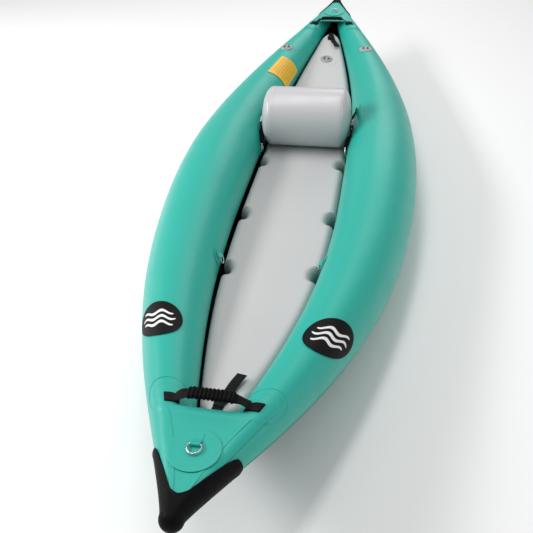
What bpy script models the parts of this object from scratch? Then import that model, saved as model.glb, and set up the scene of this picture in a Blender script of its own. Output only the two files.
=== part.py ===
"""One-seat inflatable kayak with an inflated floor, a bolster backrest and carry handles.

+X runs to the bow, +Y to port and +Z up, in metres. The origin is midway along the
hull on its centre line, at the flat bottom of the two side tubes.
"""
from math import acos, atan2, cos, degrees, hypot, pi, radians, sin, sqrt

import bmesh
import bpy
from mathutils import Matrix, Vector

# ---- hull -----------------------------------------------------------------
HULL_HALF_LENGTH = 1.546      # to the tip of a tube, inside the nose cap
TUBE_RADIUS = 0.133           # side tube at mid length
NOSE_RATIO = 0.13             # tip radius over mid radius
TAPER_POWER = 1.76
TUBE_SPACING = 0.311          # centre line to tube axis at mid length
PLAN_POWER = 2.48             # how full the hull's plan curve is
PLAN_ENTRY = 1.23             # how sharply the plan curve closes at the noses
ROCKER_RISE = 0.29            # how high the keel climbs to each nose
ROCKER_POWER = 2.14
FLAT_KEEL = 0.13              # straight share of the keel
SKIN = 0.0015                 # coated fabric of the air chambers
TUBE_SIDES = 20
TUBE_STATIONS = 14            # rings from mid length to each nose
SEAM_GAP = 0.0003             # between pieces that touch
LAY_GAP = 0.0008              # under a sheet laid on the tubes' tops
SIDE_GAP = 0.0022             # under a patch on a tube's side, which curves both ways

# ---- floor and bottom -----------------------------------------------------
FLOOR_HEIGHT = 0.107          # floor top above the keel at mid length
FLOOR_HALF_LENGTH = 1.245
FLOOR_SIDE_GAP = 0.004
FLOOR_END_ROUND = 0.045
FLOOR_EDGE_RADIUS = 0.028
FLOOR_CORNER_STEPS = 2
FLOOR_BED = 0.0015            # gap between the floor and the bottom sheet
NOTCH_STATIONS = (-0.098, 0.274, 0.595)
PLAIN_STATIONS = (-1.08, -0.96, -0.84, -0.7, -0.56, -0.42, -0.28,   # floor cuts between the notches
                  0.13, 0.43, 0.74, 0.88, 1.0, 1.1)
NOTCH_DEPTH = 0.027
NOTCH_HALF_WIDTH = 0.042
BOTTOM_LIFT = 0.06            # bottom sheet above the keel, as a share of tube radius
BOTTOM_HALF_LENGTH = 1.40
DRAIN_RADIUS = 0.009

# ---- decks, nose caps and handles -----------------------------------------
DECK_START = 1.272
DECK_END = 1.50
DECK_WRAP = radians(38)
SHEET = 0.0012
CAP_START_TOP = 1.480
CAP_START_SIDE = 1.378
CAP_WALL = 0.0025
HANDLE_X = 1.250
HANDLE_SPAN = 0.083           # half the distance between its sewn ends
HANDLE_RISE = 0.021
GRIP_HALF_LENGTH = 0.052
GRIP_HALF_WIDTH = 0.0165
GRIP_HALF_HEIGHT = 0.0095
GRIP_BORE_SIDE = 0.0010       # room round the webbing inside the grip
GRIP_BORE_TOP = 0.0018
GRIP_SIDES = 12
WEBBING_WIDTH = 0.025
WEBBING = 0.002
STRAP_ROOT_X = 1.225
STRAP_TIP_X = 1.105
STRAP_CURL = 0.012

# ---- rings ----------------------------------------------------------------
RING_WIDTH = 0.033
RING_DEPTH = 0.028
RING_WIRE = 0.002             # wire radius
RING_RUN = RING_DEPTH - 2 * RING_WIRE   # from the bar's centre to the bow's
RING_SEAT_SQUARE = 0.18        # how square the seat's rings are; 1 is a half circle
TAB_CLEARANCE = 0.0004         # between a ring's bar and the tab round it
TAB_WIDTH = 0.020
SIDE_PATCH_RADIUS = 0.030
END_RING_X = 1.374
END_PATCH_X = 1.384
END_PATCH_RADIUS = 0.054
THIGH_RING_X = 0.595
SIDE_RING_RISE = 0.036        # ring's bar above the floor

# ---- valves ---------------------------------------------------------------
VALVE_X = -0.966
FLOOR_VALVE_X = -1.02
VALVE_RADIUS = 0.0305         # of the rim
VALVE_SIDES = 18
VALVE_BODY = ((0.0305, 0.0010), (0.0305, -0.014), (0.024, -0.014), (0.024, -0.028), (0.020, -0.028),
              (0.020, -0.021), (0.0036, -0.021), (0.0036, -0.018), (0.019, -0.018), (0.019, 0.0022),
              (0.0288, 0.0022))      # (radius, height) from the rim's edge round to its top
VALVE_STEM = ((0.0055, -0.0060), (0.0070, -0.0070), (0.0070, -0.0095), (0.0030, -0.0095),
              (0.0030, -0.0283), (0.0226, -0.0283), (0.0226, -0.0313))
VALVE_CAP = ((0.0183, -0.0040, 0), (0.0183, 0.0026, 0), (0.0228, 0.0026, 0.0014),
             (0.0228, 0.0044, 0.0014), (0.0212, 0.0056, 0.0010))   # (radius, height, scallop)
VALVE_CAP_SIDES = 20
AIR_HOLE = (0.0115, 0.0045, -0.0195)    # distance from the axis, radius, height
SPRING_RADIUS = 0.005
SPRING_WIRE = 0.0005
SPRING_SPAN = (-0.0172, -0.0103)
SPRING_TURNS = 2.5

# ---- backrest -------------------------------------------------------------
BOLSTER_X = -0.270
BOLSTER_RADIUS = 0.117
BOLSTER_HALF_LENGTH = 0.179
BOLSTER_DOME = 0.045
BOLSTER_DOME_STEPS = 5
BOLSTER_SIDES = 18
BOLSTER_VALVE_Y = 0.060
BOLSTER_MOUTH = 0.0123        # radius of the hole for its valve
BOLSTER_VALVE = ((0.0120, 0.0015), (0.0120, -0.006), (0.0075, -0.006), (0.0075, -0.016),
                 (0.0045, -0.016), (0.0045, 0.0015))
BOLSTER_PLUG = ((0.0040, -0.006), (0.0040, 0.0019), (0.0078, 0.0019), (0.0078, 0.0050))
STRAP_WIDTH = 0.015
STRAP = 0.0012
STRAP_RUN = (0.645, -0.765)   # a seat strap's run in the XZ plane, down and forward
SEAT_RING = (-0.150, 0.128)   # x and z of the lower ring's bar
REAR_ANCHOR = (-0.420, 0.190)
BUCKLE_SHARE = 0.50           # place of the buckle along the strap
BUCKLE_HALF_WIDTH = 0.013
BUCKLE_HALF_HEIGHT = 0.0036
BUCKLE_HALF_LENGTH = 0.009

# ---- marks ----------------------------------------------------------------
LABEL_X = -0.772
LABEL_ANGLE = radians(-46)
LABEL_HALF_LENGTH = 0.092
LABEL_HALF_WIDTH = 0.058
BADGE_X = 0.985
BADGE_RADIUS = 0.065
BADGE_ANGLES = {"port": radians(28), "starboard": radians(20)}
PRINT = 0.0006                # thickness of a label or badge
PRINT_GAP = 0.0031

COLOURS = {                   # base colour, roughness, metallic
    "teal_pvc": ((0.07, 0.47, 0.39), 0.35, 0.0),
    "grey_pvc": ((0.56, 0.55, 0.56), 0.50, 0.0),
    "black_pvc": ((0.012, 0.012, 0.014), 0.50, 0.0),
    "black_rubber": ((0.012, 0.012, 0.012), 0.55, 0.0),
    "black_webbing": ((0.010, 0.010, 0.011), 0.80, 0.0),
    "grey_plastic": ((0.42, 0.41, 0.42), 0.40, 0.0),
    "black_plastic": ((0.015, 0.015, 0.015), 0.40, 0.0),
    "steel": ((0.62, 0.62, 0.63), 0.20, 1.0),
    "yellow_print": ((0.85, 0.55, 0.05), 0.45, 0.0),
}


# ---- hull curves ----------------------------------------------------------
SPINE_HALF = HULL_HALF_LENGTH - TUBE_RADIUS * NOSE_RATIO


def along(x):
    """0 at mid length, 1 at the centre of a nose."""
    return min(abs(x) / SPINE_HALF, 1.0)


def tube_radius(x):
    return TUBE_RADIUS * (1 - (1 - NOSE_RATIO) * along(x) ** TAPER_POWER)


def tube_y(x):
    return TUBE_SPACING * (1 - along(x) ** PLAN_POWER) ** PLAN_ENTRY


def keel_z(x):
    climb = max(0.0, (along(x) - FLAT_KEEL) / (1 - FLAT_KEEL))
    return ROCKER_RISE * climb ** ROCKER_POWER


def slope(curve, x):
    """Steepness of a hull curve at x, as rise over run."""
    step = 0.002
    inner = min(abs(x), SPINE_HALF - step)
    return (curve(inner + step) - curve(inner)) / step


def section(x):
    """The tube's cut across the hull: centre y, centre z, half width, half height."""
    r = tube_radius(x)
    half_width = r * hypot(1, slope(tube_y, x))
    half_height = r * hypot(1, slope(keel_z, x))
    flat_bottom = half_height * cos(pi / TUBE_SIDES)
    return tube_y(x), keel_z(x) + flat_bottom, half_width, half_height


def on_tube(x, side, angle, lift=0.0):
    """A point on a side tube; the angle runs outboard from its top."""
    cy, cz, half_width, half_height = section(x)
    y = cy + (half_width + lift) * sin(angle)
    return Vector((x, side * y, cz + (half_height + lift) * cos(angle)))


def deck_height(x, y, lift=0.0):
    """Height of the sheet that bridges the two tubes' tops."""
    cy, cz, half_width, half_height = section(x)
    beyond = max(0.0, abs(y) - cy) / (half_width + lift)
    return cz + (half_height + lift) * sqrt(max(0.0, 1 - beyond ** 2))


def tube_inner_y(x, z):
    """Half the gap between the two tubes at height z."""
    cy, cz, half_width, half_height = section(x)
    level = min(1.0, abs(z - cz) / half_height)
    return cy - half_width * sqrt(1 - level ** 2)


def bottom_top(x):
    return keel_z(x) + BOTTOM_LIFT * tube_radius(x) + SKIN


def floor_top(x):
    fullness = 0.35 + 0.65 * tube_radius(x) / TUBE_RADIUS
    return keel_z(x) + FLOOR_HEIGHT * fullness


# ---- mesh helpers ---------------------------------------------------------
def material(name):
    found = bpy.data.materials.get(name)
    if found:
        return found
    colour, roughness, metallic = COLOURS[name]
    made = bpy.data.materials.new(name)
    made.use_nodes = True
    shader = made.node_tree.nodes["Principled BSDF"]
    shader.inputs["Base Color"].default_value = (*colour, 1)
    shader.inputs["Roughness"].default_value = roughness
    shader.inputs["Metallic"].default_value = metallic
    made.diffuse_color = (*colour, 1)
    return made


def make(name, mesh_data, look, origin=(0, 0, 0), outward=False):
    """Turn a bmesh in world coordinates into an object whose origin is given."""
    if not outward:
        bmesh.ops.recalc_face_normals(mesh_data, faces=mesh_data.faces)
    origin = Vector(origin)
    bmesh.ops.translate(mesh_data, verts=mesh_data.verts, vec=-origin)
    mesh = bpy.data.meshes.new(name)
    mesh_data.to_mesh(mesh)
    mesh_data.free()
    mesh.shade_smooth()
    mesh.set_sharp_from_angle(angle=radians(35))
    made = bpy.data.objects.new(name, mesh)
    made.location = origin
    mesh.materials.append(material(look))
    bpy.context.collection.objects.link(made)
    return made


def add_loft(bm, rings, closed=False, capped=True):
    """Skin a list of rings of equal length. A closed loft joins its last ring to its first."""
    rows = [[bm.verts.new(point) for point in ring] for ring in rings]
    pairs = list(zip(rows, rows[1:]))
    if closed:
        pairs.append((rows[-1], rows[0]))
    for a, b in pairs:
        for i in range(len(a)):
            j = (i + 1) % len(a)
            bm.faces.new((a[i], a[j], b[j], b[i]))
    if capped and not closed:
        for row in (rows[0], rows[-1]):
            centre = bm.verts.new(sum((v.co for v in row), Vector()) / len(row))
            for i in range(len(row)):
                bm.faces.new((row[i], row[(i + 1) % len(row)], centre))
    return rows


def add_turned(bm, profile, sides, centre, turn=Matrix.Identity(3)):
    """Turn a closed (radius, height) outline about Z. No point of it is on the axis."""
    rings = []
    for k in range(sides):
        angle = 2 * pi * k / sides
        ring = [Vector((r * cos(angle), r * sin(angle), z)) for r, z in profile]
        rings.append([Vector(centre) + turn @ point for point in ring])
    add_loft(bm, rings, closed=True)


def add_spindle(bm, profile, sides, centre, turn=Matrix.Identity(3)):
    """Turn an open (radius, height) outline about Z and close both its ends."""
    rings = []
    for r, z in profile:
        ring = [Vector((r * cos(2 * pi * k / sides), r * sin(2 * pi * k / sides), z))
                for k in range(sides)]
        rings.append([Vector(centre) + turn @ point for point in ring])
    add_loft(bm, rings)


def add_sweep(bm, path, radius, sides, closed=False):
    """A round wire along a path of points."""
    rings = []
    count = len(path)
    for i, point in enumerate(path):
        before = path[(i - 1) % count] if closed or i else path[0]
        after = path[(i + 1) % count] if closed or i < count - 1 else path[-1]
        forward = (after - before).normalized()
        up = Vector((0, 0, 1)) if abs(forward.z) < 0.9 else Vector((1, 0, 0))
        if i:
            up = previous_up
        side = forward.cross(up).normalized()
        up = side.cross(forward).normalized()
        previous_up = up
        rings.append([point + radius * (cos(2 * pi * k / sides) * side
                                        + sin(2 * pi * k / sides) * up)
                      for k in range(sides)])
    add_loft(bm, rings, closed=closed)


def add_strip(bm, path, across, thickness, width, closed=False):
    """Flat webbing along a path that is bent in the plane square to `across`."""
    across = Vector(across).normalized()
    count = len(path)
    rings = []
    for i, point in enumerate(path):
        before = path[(i - 1) % count] if closed or i else path[0]
        after = path[(i + 1) % count] if closed or i < count - 1 else path[-1]
        normal = (after - before).normalized().cross(across)
        rings.append([point + a * thickness / 2 * normal + b * width / 2 * across
                      for a, b in ((1, 1), (1, -1), (-1, -1), (-1, 1))])
    add_loft(bm, rings, closed=closed)


def add_lens(bm, surface, outline, thickness, inner_steps=2):
    """A thin patch on a surface; the outline is a loop of (u, v) about the patch's centre."""
    layers = []
    for lift in (0.0, thickness):
        rows = []
        for step in range(inner_steps, 0, -1):
            share = step / inner_steps
            rows.append([bm.verts.new(surface(u * share, v * share, lift))
                         for u, v in outline])
        centre = bm.verts.new(surface(0, 0, lift))
        for a, b in zip(rows, rows[1:]):
            for i in range(len(a)):
                j = (i + 1) % len(a)
                bm.faces.new((a[i], a[j], b[j], b[i]))
        last = rows[-1]
        for i in range(len(last)):
            bm.faces.new((last[i], last[(i + 1) % len(last)], centre))
        layers.append(rows[0])
    low, high = layers
    for i in range(len(low)):
        j = (i + 1) % len(low)
        bm.faces.new((low[i], low[j], high[j], high[i]))


def round_outline(radius, sides=20):
    return [(radius * cos(2 * pi * k / sides), radius * sin(2 * pi * k / sides))
            for k in range(sides)]


def square_outline(half_u, half_v, steps=3):
    """A rectangle with extra points along its sides, so that it can bend."""
    spread = [2 * k / steps - 1 for k in range(steps)]
    return ([(half_u * s, -half_v) for s in spread]
            + [(half_u, half_v * s) for s in spread]
            + [(-half_u * s, half_v) for s in spread]
            + [(-half_u, -half_v * s) for s in spread])


def tube_surface(x, side, angle, base=SIDE_GAP):
    """Patch surface about a point of a tube: u runs along the hull, v round the tube."""
    r = tube_radius(x)

    def surface(u, v, lift):
        return on_tube(x + u, side, angle + v / r, base + lift)
    return surface


def deck_surface(x, base):
    def surface(u, v, lift):
        return Vector((x + u, v, deck_height(x + u, v, base + lift)))
    return surface


def subtract(target, *cutters):
    for cutter in cutters:
        cutter.hide_render = True
        cutter.display_type = "WIRE"
        cut = target.modifiers.new("cut_" + cutter.name, "BOOLEAN")
        cut.operation = "DIFFERENCE"
        cut.solver = "EXACT"
        cut.object = cutter


def unite(target, other):
    other.hide_render = True
    other.display_type = "WIRE"
    join = target.modifiers.new("join_" + other.name, "BOOLEAN")
    join.operation = "UNION"
    join.solver = "EXACT"
    join.object = other


def cylinder_cutter(name, radius, centre, half_height, sides=VALVE_SIDES):
    bm = bmesh.new()
    add_spindle(bm, [(radius, -half_height), (radius, half_height)], sides, centre)
    return make(name, bm, "grey_plastic")


def mirror_x(point, end):
    return Vector((end * point.x, point.y, point.z))


# ---- air chambers ---------------------------------------------------------
def tube_rings(side, inset):
    """Rings of a side tube from nose to nose, moved inwards by inset."""
    edge = SEAM_GAP / 2 + inset
    turns = [2 * pi * (k + 0.5) / TUBE_SIDES for k in range(TUBE_SIDES)]
    rings = []
    for i in range(-TUBE_STATIONS, TUBE_STATIONS + 1):
        x = SPINE_HALF * sin(pi / 2 * i / TUBE_STATIONS)
        cy, cz, half_width, half_height = section(x)
        rings.append([Vector((x,
                              side * max(edge, cy + (half_width - inset) * sin(t)),
                              cz + (half_height - inset) * cos(t))) for t in turns])
    nose = tube_radius(SPINE_HALF) - inset
    nose_z = section(SPINE_HALF)[1]
    for end in (-1, 1):
        for tilt in (radians(35), radians(68)):
            r = nose * cos(tilt)
            x = end * (SPINE_HALF + nose * sin(tilt))
            ring = [Vector((x, side * max(edge, r * sin(t)), nose_z + r * cos(t)))
                    for t in turns]
            rings.insert(0 if end < 0 else len(rings), ring)
    return rings


def build_chamber(name, outer_rings, inner_rings, look, origin=(0, 0, 0)):
    """A sealed skin of even thickness; its valve hole is cut afterwards."""
    bm = bmesh.new()
    add_loft(bm, inner_rings)
    bmesh.ops.recalc_face_normals(bm, faces=bm.faces)
    bmesh.ops.reverse_faces(bm, faces=bm.faces)
    outer = bmesh.new()
    add_loft(outer, outer_rings)
    bmesh.ops.recalc_face_normals(outer, faces=outer.faces)
    joined = bpy.data.meshes.new(name + "_outer")
    outer.to_mesh(joined)
    outer.free()
    bm.from_mesh(joined)
    bpy.data.meshes.remove(joined)
    return make(name, bm, look, origin, outward=True)


def build_tubes():
    for name, side in (("port_tube", 1), ("starboard_tube", -1)):
        tube = build_chamber(name, tube_rings(side, 0.0), tube_rings(side, SKIN), "teal_pvc")
        mouth = on_tube(VALVE_X, side, 0)
        subtract(tube, cylinder_cutter(name + "_mouth", VALVE_RADIUS + 2 * SEAM_GAP, mouth, 0.02))


def floor_half_width(x):
    """The floor's plan outline, with its three pairs of drain notches."""
    cy, _, half_width, _ = section(x)
    width = cy - half_width - FLOOR_SIDE_GAP
    past = (abs(x) - (FLOOR_HALF_LENGTH - FLOOR_END_ROUND)) / FLOOR_END_ROUND
    if past > 0:
        width *= sqrt(max(0.0, 1 - past ** 2))
    for notch in NOTCH_STATIONS:
        reach = abs(x - notch) / NOTCH_HALF_WIDTH
        if reach < 1:
            width -= NOTCH_DEPTH * sqrt(1 - reach ** 2)
    return width


def floor_ring(x, inset):
    """One cut across the floor, with rounded sides."""
    low = bottom_top(x) + FLOOR_BED + inset
    high = floor_top(x) - inset
    half = floor_half_width(x) - inset
    r = min(FLOOR_EDGE_RADIUS, (high - low) * 0.45, half * 0.8)
    edge = []
    for corner, centre_z in ((0, low + r), (1, high - r)):
        for k in range(FLOOR_CORNER_STEPS + 1):
            a = (k / FLOOR_CORNER_STEPS + corner) * pi / 2
            edge.append((half - r + r * sin(a), centre_z - r * cos(a)))
    return ([Vector((x, y, z)) for y, z in edge]
            + [Vector((x, -y, z)) for y, z in reversed(edge)])


def floor_stations():
    """Closer together round the notches and at the ends."""
    stations = {0.0}
    for notch in NOTCH_STATIONS:
        for k in range(-4, 5):
            stations.add(notch + NOTCH_HALF_WIDTH * sin(pi / 2 * k / 4))
    span = FLOOR_HALF_LENGTH - FLOOR_END_ROUND
    stations.update(PLAIN_STATIONS)
    for end in (-1, 1):
        for k in range(5):
            stations.add(end * (span + FLOOR_END_ROUND * sin(pi / 2 * k / 5)))
    return sorted(stations)


def build_floor():
    stations = floor_stations()
    outer = [floor_ring(x, 0.0) for x in stations]
    shorter = 1 - SKIN / FLOOR_HALF_LENGTH
    inner = [floor_ring(x * shorter, SKIN) for x in stations]
    skin = build_chamber("floor_chamber", outer, inner, "grey_pvc")
    mouth = Vector((FLOOR_VALVE_X, 0, floor_top(FLOOR_VALVE_X)))
    subtract(skin, cylinder_cutter("floor_mouth", VALVE_RADIUS + 2 * SEAM_GAP, mouth, 0.012))


def build_bottom_sheet():
    """Black wear sheet glued under the tubes, with a drain hole at each floor notch."""
    rings = []
    steps = 30
    for i in range(steps + 1):
        x = BOTTOM_HALF_LENGTH * (2 * i / steps - 1)
        top = bottom_top(x)
        half = tube_inner_y(x, top) - SEAM_GAP * 4
        rings.append([Vector((x, -half, top - SKIN)), Vector((x, 0, top - SKIN)),
                      Vector((x, half, top - SKIN)), Vector((x, half, top)),
                      Vector((x, 0, top)), Vector((x, -half, top))])
    bm = bmesh.new()
    add_loft(bm, rings)
    sheet = make("bottom_sheet", bm, "black_pvc")
    cutters = []
    for x in NOTCH_STATIONS:
        for side in (-1, 1):
            y = side * (floor_half_width(x) + NOTCH_DEPTH / 2)
            name = f"drain_{round(1000 * x)}_{side}"
            cutters.append(cylinder_cutter(name, DRAIN_RADIUS, (x, y, bottom_top(x)), 0.01, 10))
    subtract(sheet, *cutters)


# ---- ends of the hull -----------------------------------------------------
def build_deck(name, end):
    """Triangular panel glued over both tubes from the carry handle to the nose."""
    rings = []
    steps = 9
    wrap = [DECK_WRAP * k / 4 for k in range(4, -1, -1)]
    for i in range(steps + 1):
        x = DECK_START + (DECK_END - DECK_START) * i / steps
        ring = []
        for lift in (LAY_GAP + SHEET, LAY_GAP):
            row = [on_tube(x, -1, a, lift) for a in wrap]
            row += [on_tube(x, 1, a, lift) for a in reversed(wrap)]
            ring += row if lift > LAY_GAP else list(reversed(row))
        rings.append([mirror_x(point, end) for point in ring])
    bm = bmesh.new()
    add_loft(bm, rings)
    make(name, bm, "teal_pvc")


def cap_start(angle):
    """Where the nose cap begins: far forward on top, further aft round the sides."""
    share = abs(degrees(angle)) / 58
    share = min(1.0, max(0.0, share))
    share = share * share * (3 - 2 * share)
    return CAP_START_TOP + (CAP_START_SIDE - CAP_START_TOP) * share


def cap_point(x, angle, lift):
    """A point of the outline round both tubes; the angle runs from the top."""
    if x <= SPINE_HALF:
        cy, cz, half_width, half_height = section(x)
    else:
        cy, cz, half_width, half_height = section(SPINE_HALF)
        nose = half_width + lift
        shrink = sqrt(max(0.0, 1 - ((x - SPINE_HALF) / nose) ** 2))
        half_width = nose * shrink - lift
        half_height = (half_height + lift) * shrink - lift
    cy = max(cy, 0.001)
    side = 1 if sin(angle) > 0 else -1
    return Vector((x, side * cy + (half_width + lift) * sin(angle),
                   cz + (half_height + lift) * cos(angle)))


def build_nose_cap(name, end):
    """Moulded rubber cup over the joined noses, with a smile-shaped top edge."""
    inner_lift = LAY_GAP * 2 + SHEET
    sides = 20
    steps = 5
    angles = [2 * pi * (k + 0.5) / sides for k in range(sides)]
    rows = []
    layers = ((inner_lift, range(steps, -1, -1)), (inner_lift + CAP_WALL, range(steps + 1)))
    for lift, order in layers:
        tip = SPINE_HALF + (tube_radius(SPINE_HALF) + lift) * sin(radians(72))
        for k in order:
            ring = []
            for a in angles:
                folded = a if a <= pi else a - 2 * pi
                start = cap_start(folded)
                share = sin(pi / 2 * k / steps)
                ring.append(mirror_x(cap_point(start + (tip - start) * share, a, lift), end))
            rows.append(ring)
    bm = bmesh.new()
    add_loft(bm, rows)
    make(name, bm, "black_rubber")


def handle_path(end, half, steps):
    """The handle's arch between its two sewn ends, standing up from its hinge line."""
    base = handle_axis_z()
    points = []
    for k in range(steps + 1):
        y = half * (2 * k / steps - 1)
        share = min(1.0, (HANDLE_SPAN - abs(y)) / (HANDLE_SPAN - 0.035))
        rise = HANDLE_RISE * sin(pi / 2 * share) ** 1.3
        points.append(Vector((end * HANDLE_X, y, base + rise)))
    return points


def handle_axis_z():
    return on_tube(HANDLE_X, 1, 0, LAY_GAP + WEBBING).z + 0.0025


def build_handle(prefix, end):
    origin = (end * HANDLE_X, 0, handle_axis_z())
    bm = bmesh.new()
    add_strip(bm, handle_path(end, HANDLE_SPAN, 16), (1, 0, 0), WEBBING, WEBBING_WIDTH)
    make(prefix + "_handle_webbing", bm, "black_webbing", origin)

    bm = bmesh.new()
    path = handle_path(end, GRIP_HALF_LENGTH, 6)
    rings = {"outer": [], "bore": []}
    slot = (WEBBING_WIDTH / 2 + GRIP_BORE_SIDE, WEBBING / 2 + GRIP_BORE_TOP)
    for i, point in enumerate(path):
        ahead = path[min(i + 1, len(path) - 1)] - path[max(i - 1, 0)]
        normal = ahead.normalized().cross(Vector((1, 0, 0)))
        for key, a, b, power in (("outer", GRIP_HALF_WIDTH, GRIP_HALF_HEIGHT, 1.0),
                                 ("bore", *slot, 0.25)):
            ring = []
            for k in range(GRIP_SIDES):
                t = 2 * pi * (k + 0.5) / GRIP_SIDES
                u = a * abs(cos(t)) ** power * (1 if cos(t) > 0 else -1)
                v = b * abs(sin(t)) ** power * (1 if sin(t) > 0 else -1)
                ring.append(point + Vector((u, 0, 0)) + v * normal)
            rings[key].append(ring)
    add_loft(bm, rings["outer"] + list(reversed(rings["bore"])), closed=True)
    make(prefix + "_handle_grip", bm, "black_rubber", origin)

    for name, side in (("port", 1), ("starboard", -1)):
        bm = bmesh.new()
        pad = tube_surface(end * HANDLE_X, side, radians(-8), LAY_GAP)
        add_lens(bm, pad, square_outline(WEBBING_WIDTH / 2, 0.016), WEBBING)
        make(f"{prefix}_{name}_handle_anchor", bm, "black_webbing")


def ring_path(squareness=1.0):
    """A D ring in the XY plane: its straight bar on the Y axis, its bow towards +X."""
    half = RING_WIDTH / 2 - RING_WIRE
    points = [Vector((0, y, 0)) for y in (-half * 0.8, 0, half * 0.8)]
    arc = 9
    for k in range(arc + 1):
        t = pi * k / arc
        x = RING_RUN * (0.28 + 0.72 * abs(sin(t)) ** squareness)
        points.append(Vector((x, half * cos(t), 0)))
    return points


def wrap_path(tail, drop):
    """Webbing tab in the XZ plane that lies flat, wraps a ring's bar and comes back below."""
    r = RING_WIRE + TAB_CLEARANCE + SHEET / 2
    points = [Vector((-tail, 0, -drop)), Vector((-tail * 0.45, 0, -drop))]
    for k in range(8):
        t = radians(125 - 250 * k / 7)
        points.append(Vector((r * cos(t), 0, r * sin(t))))
    return points


def build_end_ring(prefix, end):
    """Round patch, tab and steel ring on the deck, for a tow line or painter."""
    bm = bmesh.new()
    base = 3 * LAY_GAP + SHEET
    lens = bmesh.new()
    add_lens(lens, deck_surface(END_PATCH_X, base), round_outline(END_PATCH_RADIUS), SHEET)
    for vert in lens.verts:
        vert.co.x *= end
    patch = make(prefix + "_ring_patch", lens, "teal_pvc")

    patch_top = base + SHEET
    z = deck_height(END_RING_X, 0, patch_top)
    ahead = deck_height(END_RING_X + RING_DEPTH, 0, patch_top)
    drop = RING_WIRE + SHEET + 0.0014
    centre = Vector((end * END_RING_X, 0, z + drop))
    tilt = Matrix.Rotation(-atan2(ahead - z, RING_DEPTH), 3, "Y")
    flip = Matrix.Diagonal((end, 1, 1))
    turn = flip @ tilt
    add_sweep(bm, [centre + turn @ p for p in ring_path()],
              RING_WIRE, 6, closed=True)
    make(prefix + "_ring", bm, "steel", centre)
    bm = bmesh.new()
    path = [centre + turn @ p for p in wrap_path(0.034, drop)]
    add_strip(bm, path, (0, 1, 0), SHEET, TAB_WIDTH)
    unite(patch, make(prefix + "_ring_tab", bm, "teal_pvc"))


# ---- rings on the inner sides ---------------------------------------------
def side_mount(x, z, side, pointing):
    """A ring's bar centre on a tube's inner side, and the turn from the ring's own frame.

    `pointing` is where the ring's bow points, as (x, z) in the wall's plane.
    """
    stand = RING_WIRE + SHEET + 0.0042
    run = tube_inner_y(x + 0.02, z) - tube_inner_y(x - 0.02, z)
    yaw = Matrix.Rotation(side * atan2(run, 0.04), 3, "Z")
    angle = tube_angle_at(x, z)
    inboard = Vector((0, side * sin(angle), cos(angle)))
    bow = Vector((pointing[0], 0, pointing[1]))
    bow = (bow - bow.dot(inboard) * inboard).normalized()
    turn = Matrix((bow, inboard.cross(bow), inboard)).transposed()
    wall = on_tube(x, side, angle, SIDE_GAP + SHEET)
    return wall + yaw @ inboard * stand, yaw @ turn, stand


def tube_angle_at(x, z):
    """Angle round a tube of its inner side at height z."""
    _, cz, _, half_height = section(x)
    return -acos((z - cz) / half_height)


def build_side_rings():
    thigh_z = floor_top(THIGH_RING_X) + SIDE_RING_RISE
    places = {"seat": (*SEAT_RING, (-STRAP_RUN[0], -STRAP_RUN[1]), RING_SEAT_SQUARE),
              "thigh": (THIGH_RING_X, thigh_z, (0, -1), 1.0)}
    for place, (x, z, pointing, squareness) in places.items():
        for name, side in (("port", 1), ("starboard", -1)):
            centre, turn, stand = side_mount(x, z, side, pointing)
            bm = bmesh.new()
            surface = tube_surface(x, side, tube_angle_at(x, z))
            add_lens(bm, surface, round_outline(SIDE_PATCH_RADIUS, 12), SHEET)
            patch = make(f"{name}_{place}_ring_patch", bm, "teal_pvc")
            bm = bmesh.new()
            add_sweep(bm, [centre + turn @ p for p in ring_path(squareness)],
                      RING_WIRE, 6, closed=True)
            make(f"{name}_{place}_ring", bm, "steel", centre)
            bm = bmesh.new()
            path = [centre + turn @ p for p in wrap_path(0.022, stand)]
            add_strip(bm, path, turn @ Vector((0, 1, 0)), SHEET, TAB_WIDTH)
            unite(patch, make(f"{name}_{place}_ring_tab", bm, "teal_pvc"))


# ---- straps on the floor --------------------------------------------------
def build_floor_strap(prefix, end):
    """Webbing that pulls the floor's end under the deck, with its free tail on the floor."""
    bm = bmesh.new()
    path = []
    for k in range(9):
        share = k / 8
        x = STRAP_ROOT_X + (STRAP_TIP_X - STRAP_ROOT_X) * share
        lift = LAY_GAP + WEBBING / 2 + STRAP_CURL * share ** 3
        path.append(Vector((end * x, 0.012 * share, floor_top(x) + lift)))
    add_strip(bm, path, (0, 1, 0), WEBBING, WEBBING_WIDTH)
    make(prefix + "_floor_strap", bm, "black_webbing")


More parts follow.
